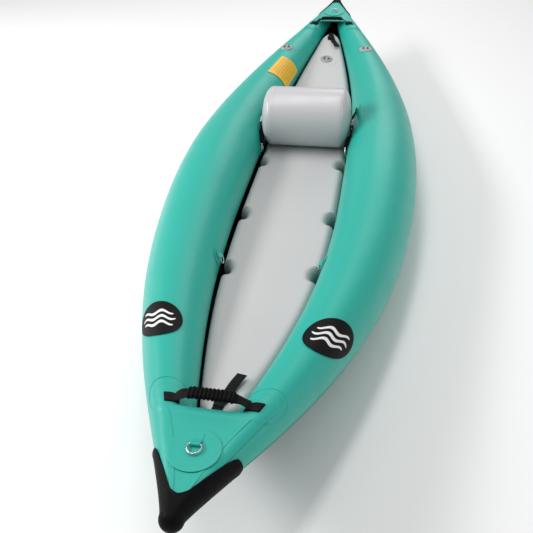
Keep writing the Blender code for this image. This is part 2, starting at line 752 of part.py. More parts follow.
# ---- valves ---------------------------------------------------------------
def build_valve(prefix, centre):
    """Push-pin valve: a flanged body, a sprung stem that seals it from inside, and a cap."""
    bm = bmesh.new()
    add_turned(bm, VALVE_BODY, VALVE_SIDES, centre)
    body = make(prefix + "_valve_body", bm, "grey_plastic")
    reach, radius, height = AIR_HOLE
    holes = []
    for k in range(3):
        t = 2 * pi * k / 3
        spot = Vector(centre) + Vector((reach * cos(t), reach * sin(t), height))
        holes.append(cylinder_cutter(f"{prefix}_air_{k}", radius, spot, 0.004, 6))
    subtract(body, *holes)

    bm = bmesh.new()
    add_spindle(bm, VALVE_STEM, 12, centre)
    make(prefix + "_valve_stem", bm, "grey_plastic", centre)

    bm = bmesh.new()
    each = 10
    low, high = SPRING_SPAN
    count = int(SPRING_TURNS * each)
    path = []
    for k in range(count + 1):
        t = 2 * pi * k / each
        z = low + (high - low) * k / count
        path.append(Vector(centre) + Vector((SPRING_RADIUS * cos(t), SPRING_RADIUS * sin(t), z)))
    add_sweep(bm, path, SPRING_WIRE, 4)
    make(prefix + "_valve_spring", bm, "steel", centre)

    bm = bmesh.new()
    rings = []
    for radius, z, scallop in VALVE_CAP:
        ring = []
        for k in range(VALVE_CAP_SIDES):
            t = 2 * pi * k / VALVE_CAP_SIDES
            r = radius - scallop * (k % 2)
            ring.append(Vector(centre) + Vector((r * cos(t), r * sin(t), z)))
        rings.append(ring)
    add_loft(bm, rings)
    make(prefix + "_valve_cap", bm, "grey_plastic", centre)


def build_valves():
    for name, side in (("port", 1), ("starboard", -1)):
        build_valve(name, on_tube(VALVE_X, side, 0))
    build_valve("floor", Vector((FLOOR_VALVE_X, 0, floor_top(FLOOR_VALVE_X))))


# ---- backrest -------------------------------------------------------------
def bolster_axis():
    return Vector((BOLSTER_X, 0, floor_top(BOLSTER_X) + BOLSTER_RADIUS + SEAM_GAP))


def bolster_profile(inset):
    """Half a capsule with shallow domes, as (radius, place along the axis)."""
    core = BOLSTER_HALF_LENGTH - BOLSTER_DOME
    dome = []
    for k in range(BOLSTER_DOME_STEPS):
        t = pi / 2 * k / BOLSTER_DOME_STEPS
        dome.append(((BOLSTER_RADIUS - inset) * cos(t), core + (BOLSTER_DOME - inset) * sin(t)))
    return [(r, -y) for r, y in reversed(dome)] + dome


def build_bolster():
    centre = bolster_axis()
    lay = Matrix.Rotation(-pi / 2, 3, "X")
    chamber = []
    for inset in (0.0, SKIN):
        rings = []
        for r, y in bolster_profile(inset):
            rings.append([centre + lay @ Vector((r * cos(2 * pi * k / BOLSTER_SIDES),
                                                 r * sin(2 * pi * k / BOLSTER_SIDES), y))
                          for k in range(BOLSTER_SIDES)])
        chamber.append(rings)
    skin = build_chamber("backrest_bolster", *chamber, "grey_pvc", backrest_pivot())
    face_back = Matrix.Rotation(-pi / 2, 3, "Y")
    mouth = centre + Vector((-BOLSTER_RADIUS, BOLSTER_VALVE_Y, 0))
    bm = bmesh.new()
    add_spindle(bm, [(BOLSTER_MOUTH, -0.008), (BOLSTER_MOUTH, 0.008)], 16, mouth, face_back)
    subtract(skin, make("bolster_mouth", bm, "grey_plastic"))
    bm = bmesh.new()
    add_turned(bm, BOLSTER_VALVE, 16, mouth, face_back)
    make("bolster_valve_body", bm, "grey_plastic", backrest_pivot())
    bm = bmesh.new()
    add_spindle(bm, BOLSTER_PLUG, 16, mouth, face_back)
    make("bolster_valve_plug", bm, "grey_plastic", mouth)


def backrest_pivot():
    """The backrest lifts about the line through its straps' lower rings."""
    bar, turn, _ = side_mount(*SEAT_RING, 1, (-STRAP_RUN[0], -STRAP_RUN[1]))
    wire = bar + turn @ Vector((RING_RUN, 0, 0))
    return Vector((wire.x, 0, wire.z))


def end_mount(side):
    """Bar centre and turn of the ring on one end of the bolster."""
    stand = RING_WIRE + SHEET + 0.0022
    centre = bolster_axis() + Vector((0.012, side * (BOLSTER_HALF_LENGTH + SEAM_GAP + stand), -0.005))
    bow = Vector((STRAP_RUN[0], 0, STRAP_RUN[1])).normalized()
    outboard = Vector((0, side, 0))
    turn = Matrix((bow, outboard.cross(bow), outboard)).transposed()
    return centre, turn, stand


def racetrack(start, end, normal):
    """Doubled webbing looped round two wires: wide at the wires, pinched between them."""
    ahead = (end - start).normalized()
    length = (end - start).length
    loop = RING_WIRE + 0.0030 + STRAP / 2
    points = []
    for at, first in ((0.0, 90), (length, -90)):
        for k in range(7):
            t = radians(first + 180 * k / 6)
            points.append(start + ahead * (at + loop * cos(t)) + normal * loop * sin(t))
        pinch = 0.016 if at == 0 else length - 0.016
        far = length - pinch
        hold = -STRAP if at == 0 else STRAP
        points += [start + ahead * pinch + normal * hold, start + ahead * far + normal * hold]
    return points


def build_seat_straps():
    for name, side in (("port", 1), ("starboard", -1)):
        centre, turn, stand = end_mount(side)
        bm = bmesh.new()
        add_sweep(bm, [centre + turn @ p for p in ring_path(RING_SEAT_SQUARE)],
                  RING_WIRE, 6, closed=True)
        make(name + "_backrest_ring", bm, "steel", backrest_pivot())
        bm = bmesh.new()
        path = [centre + turn @ p for p in wrap_path(0.022, stand - SHEET / 2 - SEAM_GAP)]
        add_strip(bm, path, turn @ Vector((0, 1, 0)), SHEET, TAB_WIDTH)
        make(name + "_backrest_ring_tab", bm, "grey_pvc", backrest_pivot())

        low, low_turn, _ = side_mount(*SEAT_RING, side, (-STRAP_RUN[0], -STRAP_RUN[1]))
        start = centre + turn @ Vector((RING_RUN, 0, 0))
        end = low + low_turn @ Vector((RING_RUN, 0, 0))
        ahead = (end - start).normalized()
        across = ahead.cross(Vector((0, side, 0))).normalized()
        normal = across.cross(ahead).normalized()
        bm = bmesh.new()
        add_strip(bm, racetrack(start, end, normal), across, STRAP, STRAP_WIDTH, closed=True)
        make(name + "_seat_strap", bm, "black_webbing", backrest_pivot())

        bm = bmesh.new()
        middle = start + (end - start) * BUCKLE_SHARE
        rings = []
        outer = (BUCKLE_HALF_WIDTH, BUCKLE_HALF_HEIGHT)
        slot = (STRAP_WIDTH / 2 + 2 * SEAM_GAP, STRAP + 0.0011)
        for (half_a, half_n), place in ((outer, -1), (outer, 1), (slot, 1), (slot, -1)):
            spot = middle + ahead * BUCKLE_HALF_LENGTH * place
            rings.append([spot + a * half_a * across + b * half_n * normal
                          for a, b in ((1, 1), (1, -1), (-1, -1), (-1, 1))])
        add_loft(bm, rings, closed=True)
        make(name + "_strap_buckle", bm, "black_plastic", backrest_pivot())

        x, z = REAR_ANCHOR
        wall = tube_inner_y(x, z) - 3 * SIDE_GAP
        tip = bolster_axis() + Vector((-0.022, 0, -0.006))
        reach = [Vector((x, side * wall, z)), Vector((x + 0.018, side * wall, z + 0.003)),
                 Vector((x + 0.07, side * 0.190, z + 0.016)),
                 Vector((tip.x, side * (BOLSTER_HALF_LENGTH + 0.008), tip.z))]
        bm = bmesh.new()
        add_strip(bm, reach, (reach[-1] - reach[0]).cross(Vector((0, 1, 0))), STRAP, STRAP_WIDTH)
        make(name + "_rear_strap", bm, "black_webbing")


# ---- marks ----------------------------------------------------------------
def build_marks():
    """A plain label on one tube and a plain round badge on each."""
    bm = bmesh.new()
    surface = tube_surface(LABEL_X, -1, LABEL_ANGLE, PRINT_GAP)
    add_lens(bm, surface, square_outline(LABEL_HALF_LENGTH, LABEL_HALF_WIDTH, 5), PRINT)
    make("blank_label", bm, "yellow_print")
    for name, side in (("port", 1), ("starboard", -1)):
        bm = bmesh.new()
        surface = tube_surface(BADGE_X, side, BADGE_ANGLES[name], PRINT_GAP)
        add_lens(bm, surface, round_outline(BADGE_RADIUS), PRINT)
        make(name + "_badge", bm, "black_pvc")


def main():
    for old in list(bpy.data.objects):
        bpy.data.objects.remove(old)
    build_tubes()
    build_floor()
    build_bottom_sheet()
    for prefix, end in (("bow", 1), ("stern", -1)):
        build_deck(prefix + "_deck", end)
        build_nose_cap(prefix + "_nose_cap", end)
        build_handle(prefix, end)
        build_end_ring(prefix, end)
        build_floor_strap(prefix, end)
    build_side_rings()
    build_valves()
    build_bolster()
    build_seat_straps()
    build_marks()


main()
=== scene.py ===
"""Looks of the one-seat inflatable kayak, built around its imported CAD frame.

+X runs to the bow, +Y to port and +Z up, in metres. The hull curves repeat the CAD part's formulas.
"""

from math import acos, atan2, cos, degrees, exp, hypot, pi, radians, sin, sqrt

import bmesh
import bpy
from mathutils import Matrix, Vector, noise
from mathutils.bvhtree import BVHTree


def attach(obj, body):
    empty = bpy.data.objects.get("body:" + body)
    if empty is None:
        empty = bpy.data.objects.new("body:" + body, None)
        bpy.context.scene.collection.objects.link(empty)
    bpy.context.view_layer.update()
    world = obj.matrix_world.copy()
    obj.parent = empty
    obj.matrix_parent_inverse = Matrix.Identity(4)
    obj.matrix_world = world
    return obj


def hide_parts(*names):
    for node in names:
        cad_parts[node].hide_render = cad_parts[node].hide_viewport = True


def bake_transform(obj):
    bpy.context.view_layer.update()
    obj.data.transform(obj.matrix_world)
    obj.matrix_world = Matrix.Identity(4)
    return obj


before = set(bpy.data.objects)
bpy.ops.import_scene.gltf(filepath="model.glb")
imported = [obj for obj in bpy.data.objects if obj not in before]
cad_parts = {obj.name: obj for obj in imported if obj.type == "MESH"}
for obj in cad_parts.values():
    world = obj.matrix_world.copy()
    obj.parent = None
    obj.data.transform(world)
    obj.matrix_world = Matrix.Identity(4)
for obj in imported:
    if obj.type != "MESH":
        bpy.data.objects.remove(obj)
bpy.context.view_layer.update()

# ---- hull, as in the CAD part -----------------------------------------------
TUBE_RADIUS = 0.133
NOSE_RATIO = 0.13
TAPER_POWER = 1.76
TUBE_SPACING = 0.311
PLAN_POWER = 2.48
PLAN_ENTRY = 1.23
ROCKER_RISE = 0.29
ROCKER_POWER = 2.14
FLAT_KEEL = 0.13
TUBE_SIDES = 20
SPINE_HALF = 1.546 - TUBE_RADIUS * NOSE_RATIO
FLOOR_HALF_LENGTH = 1.245
FLOOR_END_ROUND = 0.045
FLOOR_SIDE_GAP = 0.004
NOTCH_STATIONS = (-0.098, 0.274, 0.595)
NOTCH_DEPTH = 0.027
NOTCH_HALF_WIDTH = 0.042
SKIN = 0.0015
DECK_START = 1.272
DECK_END = 1.50
DECK_WRAP = radians(38)
LAY_GAP = 0.0008
SHEET = 0.0012
SIDE_GAP = 0.0012
CAP_START_TOP = 1.480
CAP_START_SIDE = 1.378
CAP_WALL = 0.0025
VALVE_POCKET = 0.0311
POCKET_DEPTH = 0.045
TAB_WIDTH = 0.021
TAB_SHEET = SHEET * 1.1
HANDLE_X = 1.250
HANDLE_SPAN = 0.083
HANDLE_RISE = 0.021
GRIP_HALF_LENGTH = 0.052
WEBBING_WIDTH = 0.025
WEBBING = 0.002
RING_WIDTH = 0.033
RING_WIRE = 0.002
RING_RUN = 0.024
END_RING_X = 1.374
END_PATCH_X = 1.384
END_PATCH_RADIUS = 0.054
SIDE_STAND = RING_WIRE + SHEET + 0.0042
THIGH_RING_X = 0.595
SEAT_RING = (-0.150, 0.128)
STRAP_RUN = (0.645, -0.765)
VALVE_X = -0.966
FLOOR_VALVE_X = -1.02
BOLSTER_X = -0.270
BOLSTER_RADIUS = 0.117
BOLSTER_HALF_LENGTH = 0.179
BOLSTER_DOME = 0.045
REAR_ANCHOR = (-0.420, 0.190)
LABEL_X = -0.772
LABEL_ANGLE = radians(-46)
LABEL_HALF = (0.092, 0.058)
BADGE_X = 0.985
BADGE_RADIUS = 0.065
PRINT = 0.0006
PRINT_TOP = 0.00072           # where printed lines lie above a label's or badge's base
ENDS = (("bow", 1), ("stern", -1))
SIDES = (("port", 1), ("starboard", -1))


def along(x):
    """0 at mid length, 1 at the centre of a nose."""
    return min(abs(x) / SPINE_HALF, 1.0)


def tube_radius(x):
    return TUBE_RADIUS * (1 - (1 - NOSE_RATIO) * along(x) ** TAPER_POWER)


def tube_y(x):
    return TUBE_SPACING * (1 - along(x) ** PLAN_POWER) ** PLAN_ENTRY


def keel_z(x):
    climb = max(0.0, (along(x) - FLAT_KEEL) / (1 - FLAT_KEEL))
    return ROCKER_RISE * climb ** ROCKER_POWER


def slope(curve, x):
    step = 0.002
    inner = min(abs(x), SPINE_HALF - step)
    return (curve(inner + step) - curve(inner)) / step


def section(x):
    """The tube's cut across the hull: centre y, centre z, half width, half height."""
    r = tube_radius(x)
    half_width = r * hypot(1, slope(tube_y, x))
    half_height = r * hypot(1, slope(keel_z, x))
    return tube_y(x), keel_z(x) + half_height * cos(pi / TUBE_SIDES), half_width, half_height


def on_tube(x, side, angle, lift=0.0):
    """A point on a side tube; the angle runs outboard from its top."""
    cy, cz, half_width, half_height = section(x)
    y = cy + (half_width + lift) * sin(angle)
    return Vector((x, side * y, cz + (half_height + lift) * cos(angle)))


def deck_height(x, y, lift=0.0):
    cy, cz, half_width, half_height = section(x)
    beyond = max(0.0, abs(y) - cy) / (half_width + lift)
    return cz + (half_height + lift) * sqrt(max(0.0, 1 - beyond ** 2))


def tube_inner_y(x, z):
    cy, cz, half_width, half_height = section(x)
    level = min(1.0, abs(z - cz) / half_height)
    return cy - half_width * sqrt(1 - level ** 2)


def tube_angle_at(x, z):
    _, cz, _, half_height = section(x)
    return -acos((z - cz) / half_height)


def bottom_top(x):
    return keel_z(x) + 0.06 * tube_radius(x) + SKIN


def floor_top(x):
    return keel_z(x) + 0.107 * (0.35 + 0.65 * tube_radius(x) / TUBE_RADIUS)


def smooth(t):
    t = min(1.0, max(0.0, t))
    return t * t * (3 - 2 * t)


# ---- materials ----------------------------------------------------------------
class Look:
    """A procedural material under construction."""

    def __init__(self, name):
        self.made = bpy.data.materials.new(name)
        self.made.use_nodes = True
        self.tree = self.made.node_tree
        self.shader = self.tree.nodes["Principled BSDF"]
        self.coords = self.tree.nodes.new("ShaderNodeTexCoord")
        self.height = None

    def node(self, kind, settings=None, **inputs):
        made = self.tree.nodes.new("ShaderNode" + kind)
        for key, value in (settings or {}).items():
            setattr(made, key, value)
        for key, value in inputs.items():
            socket = made.inputs[key.replace("_", " ")]
            if isinstance(value, bpy.types.NodeSocket):
                self.tree.links.new(value, socket)
            else:
                socket.default_value = value
        return made

    def noise(self, scale, detail=3.0, where="Object"):
        made = self.node("TexNoise", Vector=self.coords.outputs[where], Scale=scale, Detail=detail)
        return made.outputs["Fac"]

    def spread(self, factor, low, high):
        """Map a 0 to 1 factor to low to high."""
        made = self.node("MapRange", Value=factor, To_Min=low, To_Max=high)
        made.inputs["From Min"].default_value = 0.3
        made.inputs["From Max"].default_value = 0.7
        return made.outputs["Result"]

    def colour(self, dark, light, factor):
        mix = self.node("Mix", {"data_type": "RGBA"})
        mix.inputs[6].default_value = (*dark, 1)
        mix.inputs[7].default_value = (*light, 1)
        self.tree.links.new(factor, mix.inputs[0])
        self.tree.links.new(mix.outputs[2], self.shader.inputs["Base Color"])
        return mix

    def roughness(self, low, high, factor):
        self.tree.links.new(self.spread(factor, low, high), self.shader.inputs["Roughness"])

    def bump(self, height, distance, strength=1.0):
        made = self.node("Bump", Height=height, Distance=distance, Strength=strength)
        if self.height:
            self.tree.links.new(self.height, made.inputs["Normal"])
        self.height = made.outputs["Normal"]
        self.tree.links.new(self.height, self.shader.inputs["Normal"])

    def bands(self, pitch, direction):
        """Fine parallel ridges, `pitch` metres apart, along one of the UV directions."""
        wave = self.node("TexWave", {"bands_direction": direction}, Vector=self.coords.outputs["UV"],
                         Scale=0.314 / pitch, Distortion=0.0)
        return wave.outputs["Fac"]

    def weave(self, pitch, distance, strength=1.0):
        made = self.node("Math", {"operation": "MAXIMUM"})
        self.tree.links.new(self.bands(pitch, "X"), made.inputs[0])
        self.tree.links.new(self.bands(pitch, "Y"), made.inputs[1])
        self.bump(made.outputs[0], distance, strength)


def coated_fabric(name, dark, light, rough, coat=0.0, weave=0.00005, shine=0.45):
    look = Look(name)
    look.colour(dark, light, look.noise(2.2, 2.0))
    look.roughness(rough - 0.04, rough + 0.06, look.noise(14, 4.0))
    look.weave(0.0011, weave)
    look.bump(look.noise(9, 2.0), 0.0012)
    look.bump(look.noise(55, 3.0), 0.00022)
    look.shader.inputs["Coat Weight"].default_value = coat
    look.shader.inputs["Coat Roughness"].default_value = 0.30
    look.shader.inputs["Specular IOR Level"].default_value = shine
    return look.made


def webbing_look(name, dark, light):
    look = Look(name)
    look.colour(dark, light, look.noise(90, 3.0))
    look.shader.inputs["Roughness"].default_value = 0.78
    look.shader.inputs["Specular IOR Level"].default_value = 0.10
    look.shader.inputs["Sheen Weight"].default_value = 0.04
    look.shader.inputs["Sheen Roughness"].default_value = 0.5
    look.bump(look.bands(0.0017, "X"), 0.00022)
    look.bump(look.bands(0.0042, "Y"), 0.00016)
    look.bump(look.noise(900, 2.0), 0.00006)
    return look.made


def moulded(name, dark, light, rough, grain, metallic=0.0, scale=260, marks=40, shine=0.5):
    look = Look(name)
    look.colour(dark, light, look.noise(marks, 3.0))
    look.roughness(rough - 0.05, rough + 0.08, look.noise(marks * 2, 4.0))
    look.bump(look.noise(scale, 3.0), grain)
    look.shader.inputs["Metallic"].default_value = metallic
    look.shader.inputs["Specular IOR Level"].default_value = shine
    return look.made


# name, dark and light colour, roughness, then coat, weave depth and specular level
COATED = (
    ("teal_pvc", (0.014, 0.385, 0.312), (0.022, 0.435, 0.355), 0.40, 0.22, 0.00005, 0.32),
    ("grey_pvc", (0.525, 0.515, 0.520), (0.575, 0.565, 0.570), 0.46, 0.08, 0.00008),
    ("light_pvc", (0.520, 0.510, 0.528), (0.560, 0.550, 0.568), 0.34, 0.35),
    ("black_pvc", (0.003, 0.003, 0.003), (0.006, 0.006, 0.006), 0.50, 0.0, 0.00005, 0.12),
)
WOVEN = (
    ("black_webbing", (0.004, 0.004, 0.004), (0.010, 0.010, 0.011)),
    ("thread", (0.030, 0.030, 0.032), (0.055, 0.055, 0.058)),
)
# name, dark and light colour, roughness, grain depth, then metallic, grain scale, marks and specular level
MOULDED = (
    ("black_rubber", (0.002, 0.002, 0.002), (0.004, 0.004, 0.004), 0.55, 0.00012, 0.0, 260, 40, 0.08),
    ("grey_plastic", (0.36, 0.35, 0.37), (0.45, 0.44, 0.45), 0.34, 0.00004),
    # painted shade: near black for the valve caps' dishes, standing in for the shade inside the recess
    ("painted_dish_shade", (0.030, 0.030, 0.034), (0.050, 0.050, 0.054), 0.5, 0.00004),
    ("black_plastic", (0.003, 0.003, 0.003), (0.007, 0.007, 0.007), 0.38, 0.00006, 0.0, 260, 40, 0.2),
    ("steel", (0.56, 0.56, 0.58), (0.68, 0.68, 0.69), 0.20, 0.00003, 1.0, 420, 120),
    ("yellow_print", (0.86, 0.46, 0.012), (0.92, 0.52, 0.022), 0.42, 0.00005, 0.0, 180, 25),
    ("amber_print", (0.50, 0.27, 0.02), (0.56, 0.31, 0.03), 0.45, 0.00005, 0.0, 180, 25),
    ("white_print", (0.80, 0.80, 0.79), (0.88, 0.88, 0.87), 0.40, 0.00004),
)
LOOKS = {}
for make_look, rows in ((coated_fabric, COATED), (webbing_look, WOVEN), (moulded, MOULDED)):
    for row in rows:
        LOOKS[row[0]] = make_look(*row)


# ---- mesh helpers -----------------------------------------------------------------
def add_loft(bm, rings, closed=False, capped=True, look=0):
    """Skin rings of equal length, with UVs in metres along and round them."""
    uv = bm.loops.layers.uv.get("metres") or bm.loops.layers.uv.new("metres")
    rows = [[bm.verts.new(p) for p in ring] for ring in rings]
    count = len(rows[0])
    lengths = [0.0]
    for a, b in zip(rings, rings[1:] + ([rings[0]] if closed else [])):
        lengths.append(lengths[-1] + sum((q - p).length for p, q in zip(a, b)) / count)
    rounds = []
    for ring in rings + ([rings[0]] if closed else []):
        total = [0.0]
        for i in range(count):
            total.append(total[-1] + (ring[(i + 1) % count] - ring[i]).length)
        rounds.append(total)
    pairs = len(rows) if closed else len(rows) - 1
    for k in range(pairs):
        a, b = rows[k], rows[(k + 1) % len(rows)]
        for i in range(count):
            j = (i + 1) % count
            face = bm.faces.new((a[i], a[j], b[j], b[i]))
            face.material_index = look
            for loop, (row, column) in zip(face.loops, ((k, i), (k, i + 1), (k + 1, i + 1), (k + 1, i))):
                loop[uv].uv = (lengths[row], rounds[row][column])
    if capped and not closed:
        for row in (rows[0], rows[-1]):
            centre = bm.verts.new(sum((v.co for v in row), Vector()) / count)
            for i in range(count):
                face = bm.faces.new((row[i], row[(i + 1) % count], centre))
                face.material_index = look
                for loop in face.loops:
                    loop[uv].uv = (loop.vert.co - centre.co).xy
    return rows


def link_mesh(name, bm):
    """Put the bmesh in the scene as a new object."""
    mesh = bpy.data.meshes.new(name)
    bm.to_mesh(mesh)
    bm.free()
    made = bpy.data.objects.new(name, mesh)
    bpy.context.scene.collection.objects.link(made)
    return made


def finish_piece(name, bm, looks, body, cad=(), sharp=40.0, ride=True):
    """Make the bmesh an object that wears `looks` and, unless it will blend, rides on a CAD body."""
    bmesh.ops.recalc_face_normals(bm, faces=bm.faces)
    made = link_mesh(name, bm)
    mesh = made.data
    mesh.shade_smooth()
    mesh.set_sharp_from_angle(angle=radians(sharp))
    looks = [looks] if isinstance(looks, str) else looks
    for look in looks:
        mesh.materials.append(LOOKS[look])
    if ride:
        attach(made, body)
    if cad:
        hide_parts(*([cad] if isinstance(cad, str) else cad))
    return made


def frames_along(path, up, closed=False):
    """Forward, side and up directions at each point of a path; up stays near `up`."""
    count = len(path)
    found = []
    for i in range(count):
        before = path[(i - 1) % count] if closed or i else path[0]
        after = path[(i + 1) % count] if closed or i < count - 1 else path[-1]
        forward = (after - before).normalized()
        side = forward.cross(up).normalized()
        found.append((forward, side, side.cross(forward).normalized()))
    return found


def add_wire(bm, path, radius, up, sides=12, closed=False, look=0):
    rings = []
    for point, (_, side, over) in zip(path, frames_along(path, up, closed)):
        rings.append([point + radius * (cos(2 * pi * k / sides) * side + sin(2 * pi * k / sides) * over)
                      for k in range(sides)])
    return add_loft(bm, rings, closed=closed, look=look)


def strip_outline(width, thickness):
    """Cut across flat webbing, with rounded edges: (across, over) points."""
    half, r = width / 2 - thickness / 2, thickness / 2
    points = []
    for side in (1, -1):
        for k in range(5):
            t = pi / 2 - pi * k / 4
            points.append((side * (half + r * cos(t)), side * r * sin(t)))
        points += [(side * half * f, -side * r) for f in (0.6, 0.2, -0.2, -0.6)]
    return points


def add_strip(bm, path, across, width, thickness, closed=False, look=0):
    """Flat webbing along a path; `across` is its width direction, or one for each point."""
    outline = strip_outline(width, thickness)
    many = across if isinstance(across, list) else [Vector(across).normalized()] * len(path)
    count = len(path)
    rings = []
    for i, point in enumerate(path):
        before = path[(i - 1) % count] if closed or i else path[0]
        after = path[(i + 1) % count] if closed or i < count - 1 else path[-1]
        over = (after - before).normalized().cross(many[i]).normalized()
        rings.append([point + a * many[i] + b * over for a, b in outline])
    return add_loft(bm, rings, closed=closed, look=look)


def rounded_path(points, rounds=3, closed=False):
    """Corner cutting: a smooth path that stays near a few given points."""
    for _ in range(rounds):
        cut = [] if closed else [points[0]]
        pairs = list(zip(points, points[1:] + (points[:1] if closed else [])))
        if not closed:
            pairs = pairs[:len(points) - 1]
        for a, b in pairs:
            cut += [a.lerp(b, 0.25), a.lerp(b, 0.75)]
        points = cut if closed else cut + [points[-1]]
    return points


def add_patch(bm, surface, outline, thickness, rim=0.0008, steps=8, look=0):
    """A thin patch on a surface, with a rounded rim; the outline is a loop of (u, v)."""
    count = len(outline)
    mid_u = sum(u for u, _ in outline) / count
    mid_v = sum(v for _, v in outline) / count

    def ring(share, lift):
        return [surface(mid_u + (u - mid_u) * share, mid_v + (v - mid_v) * share, lift)
                for u, v in outline]
    reach = max(hypot(u - mid_u, v - mid_v) for u, v in outline)
    inner = 1 - rim / reach
    rings = [ring(inner * k / steps, 0.0) for k in range(1, steps + 1)]
    rings.append(ring(1.0, thickness * 0.15))
    rings.append(ring(1.0, thickness * 0.65))
    rings.append(ring(1 - 0.4 * (1 - inner), thickness * 0.93))
    rings += [ring(inner * k / steps, thickness) for k in range(steps, 0, -1)]
    add_loft(bm, rings, look=look)


def round_outline(radius, sides=64):
    return [(radius * cos(2 * pi * k / sides), radius * sin(2 * pi * k / sides)) for k in range(sides)]


def to_end(points, end):
    """Points modelled at the bow, mirrored to the stern when `end` is -1."""
    return [Vector((end * p.x, p.y, p.z)) for p in points]


def rounded_box_outline(half_u, half_v, corner, steps=6, run=8):
    """A rectangle with rounded corners, with points along its sides so that it can bend."""
    points = []
    for su, sv, start in ((1, 1, 0), (-1, 1, 90), (-1, -1, 180), (1, -1, 270)):
        for k in range(steps + 1):
            t = radians(start + 90 * k / steps)
            u = su * (half_u - corner) + corner * cos(t)
            v = sv * (half_v - corner) + corner * sin(t)
            points.append((u, v))
        flat = {0: (-1, 0), 90: (0, -1), 180: (1, 0), 270: (0, 1)}[start]
        last = points[-1]
        reach = 2 * ((half_u - corner) if flat[0] else (half_v - corner))
        for k in range(1, run):
            points.append((last[0] + flat[0] * reach * k / run, last[1] + flat[1] * reach * k / run))
    return points


def tube_surface(x, side, angle, base=SIDE_GAP):
    r = tube_radius(x)

    def surface(u, v, lift):
        return on_tube(x + u, side, angle + v / r, base + lift)
    return surface


def deck_surface(x, end, base):
    def surface(u, v, lift):
        return Vector((end * (x + u), v, deck_height(x + u, v, base + lift)))
    return surface


def add_turned(bm, profile, sides, centre, turn=Matrix.Identity(3), closed=False, look=0):
    """Turn a (radius, height) outline about Z."""
    rings = []
    for r, z in profile:
        rings.append([Vector(centre) + turn @ Vector((u, v, z)) for u, v in round_outline(r, sides)])
    add_loft(bm, rings, closed=closed, look=look)


def add_stitches(bm, line, normal, length=0.0032, gap=0.0014, wire=0.00042, look=0):
    """A row of short thread stitches along a polyline."""
    for a, b in zip(line, line[1:]):
        run = b - a
        ahead = run.normalized()
        side = ahead.cross(normal).normalized()
        count = max(1, int(run.length / (length + gap)))
        pitch = run.length / count
        for k in range(count):
            start = a + ahead * pitch * k
            profile = [(0.02, 0.15), (0.16, 0.75), (0.35, 1.0), (0.65, 1.0), (0.84, 0.75), (0.98, 0.15)]
            rings = [[start + ahead * (pitch - gap) * place
                      + wire * size * (cos(2 * pi * j / 6) * side + sin(2 * pi * j / 6) * normal)
                      for j in range(6)] for place, size in profile]
            add_loft(bm, rings, look=look)


def bored(target, centre):
    """Sink a round pocket into a chamber for its valve."""
    bm = bmesh.new()
    add_turned(bm, [(VALVE_POCKET, -POCKET_DEPTH), (VALVE_POCKET, 0.02)], 48, centre)
    bmesh.ops.recalc_face_normals(bm, faces=bm.faces)
    cutter = link_mesh("pocket", bm)
    cut = target.modifiers.new("pocket", "BOOLEAN")
    cut.operation = "DIFFERENCE"
    cut.solver = "EXACT"
    cut.object = cutter
    bpy.context.view_layer.update()
    done = bpy.data.meshes.new_from_object(target.evaluated_get(bpy.context.evaluated_depsgraph_get()))
    target.modifiers.clear()
    target.data = done
    bpy.data.objects.remove(cutter)
    done.set_sharp_from_angle(angle=radians(40))


# ---- air chambers -----------------------------------------------------------------
TUBE_AROUND = 88
TUBE_STEPS = 96               # rings from mid length to each nose
PUCKER_X = 1.235              # fabric pulled by the handles' ends
PUCKER = 0.0011


def tube_detail(x, angle):
    """Small swells of stretched fabric: long ones everywhere, puckers by the handles' ends."""
    swell = 0.0007 * noise.noise(Vector((x * 5.0, cos(angle) * 1.6, sin(angle) * 1.6)))
    near = exp(-((abs(x) - PUCKER_X) / 0.075) ** 2) * exp(-(angle / radians(50)) ** 2)
    pleat = sin(150 * (abs(x) - PUCKER_X) + 3.0 * sin(angle * 3.1 + x))
    return swell + near * PUCKER * pleat * (0.4 + 0.6 * noise.noise(Vector((x * 21, angle * 4, 3.0))))


def tube_rings(side):
    turns = [2 * pi * (k + 0.5) / TUBE_AROUND for k in range(TUBE_AROUND)]
    rings = []
    for i in range(-TUBE_STEPS, TUBE_STEPS + 1):
        x = SPINE_HALF * sin(pi / 2 * i / TUBE_STEPS)
        cy, cz, half_width, half_height = section(x)
        ground = keel_z(x)
        ring = []
        for t in turns:
            angle = t if t <= pi else t - 2 * pi
            lift = tube_detail(x, angle) if along(x) < 0.9 else 0.0
            y = cy + (half_width + lift) * sin(t)
            z = cz + (half_height + lift) * cos(t)
            ring.append(Vector((x, side * max(0.0003, y), max(ground, z))))
        rings.append(ring)
    nose = tube_radius(SPINE_HALF)
    nose_z = section(SPINE_HALF)[1]
    for end in (-1, 1):
        for tilt in (radians(a) for a in (15, 30, 45, 58, 70, 80)):
            r = nose * cos(tilt)
            x = end * (SPINE_HALF + nose * sin(tilt))
            ring = [Vector((x, side * max(0.0003, r * sin(t)), nose_z + r * cos(t))) for t in turns]
            rings.insert(0 if end < 0 else len(rings), ring)
    return rings


def build_tubes():
    for name, side in SIDES:
        bm = bmesh.new()
        add_loft(bm, tube_rings(side))
        tube = finish_piece(name + "_tube_fabric", bm, "teal_pvc", "hull", name + "_tube")
        bored(tube, on_tube(VALVE_X, side, 0))


def build_tube_seams():
    """Welded tapes along each tube: one under it, one where the bottom sheet is joined to it."""
    for name, side in SIDES:
        bm = bmesh.new()
        for angle, width, reach in ((radians(-128), 0.030, 1.33), (radians(128), 0.026, 1.36)):
            rings = []
            for i in range(121):
                x = reach * (i / 60 - 1)
                surface = tube_surface(x, side, angle, 0.0004)
                outline = strip_outline(width * (0.45 + 0.55 * tube_radius(x) / TUBE_RADIUS), 0.0009)
                rings.append([surface(0.0, a, b + 0.0005) for a, b in outline])
            add_loft(bm, rings)
        finish_piece(name + "_tube_seam_tapes", bm, "teal_pvc", "hull")


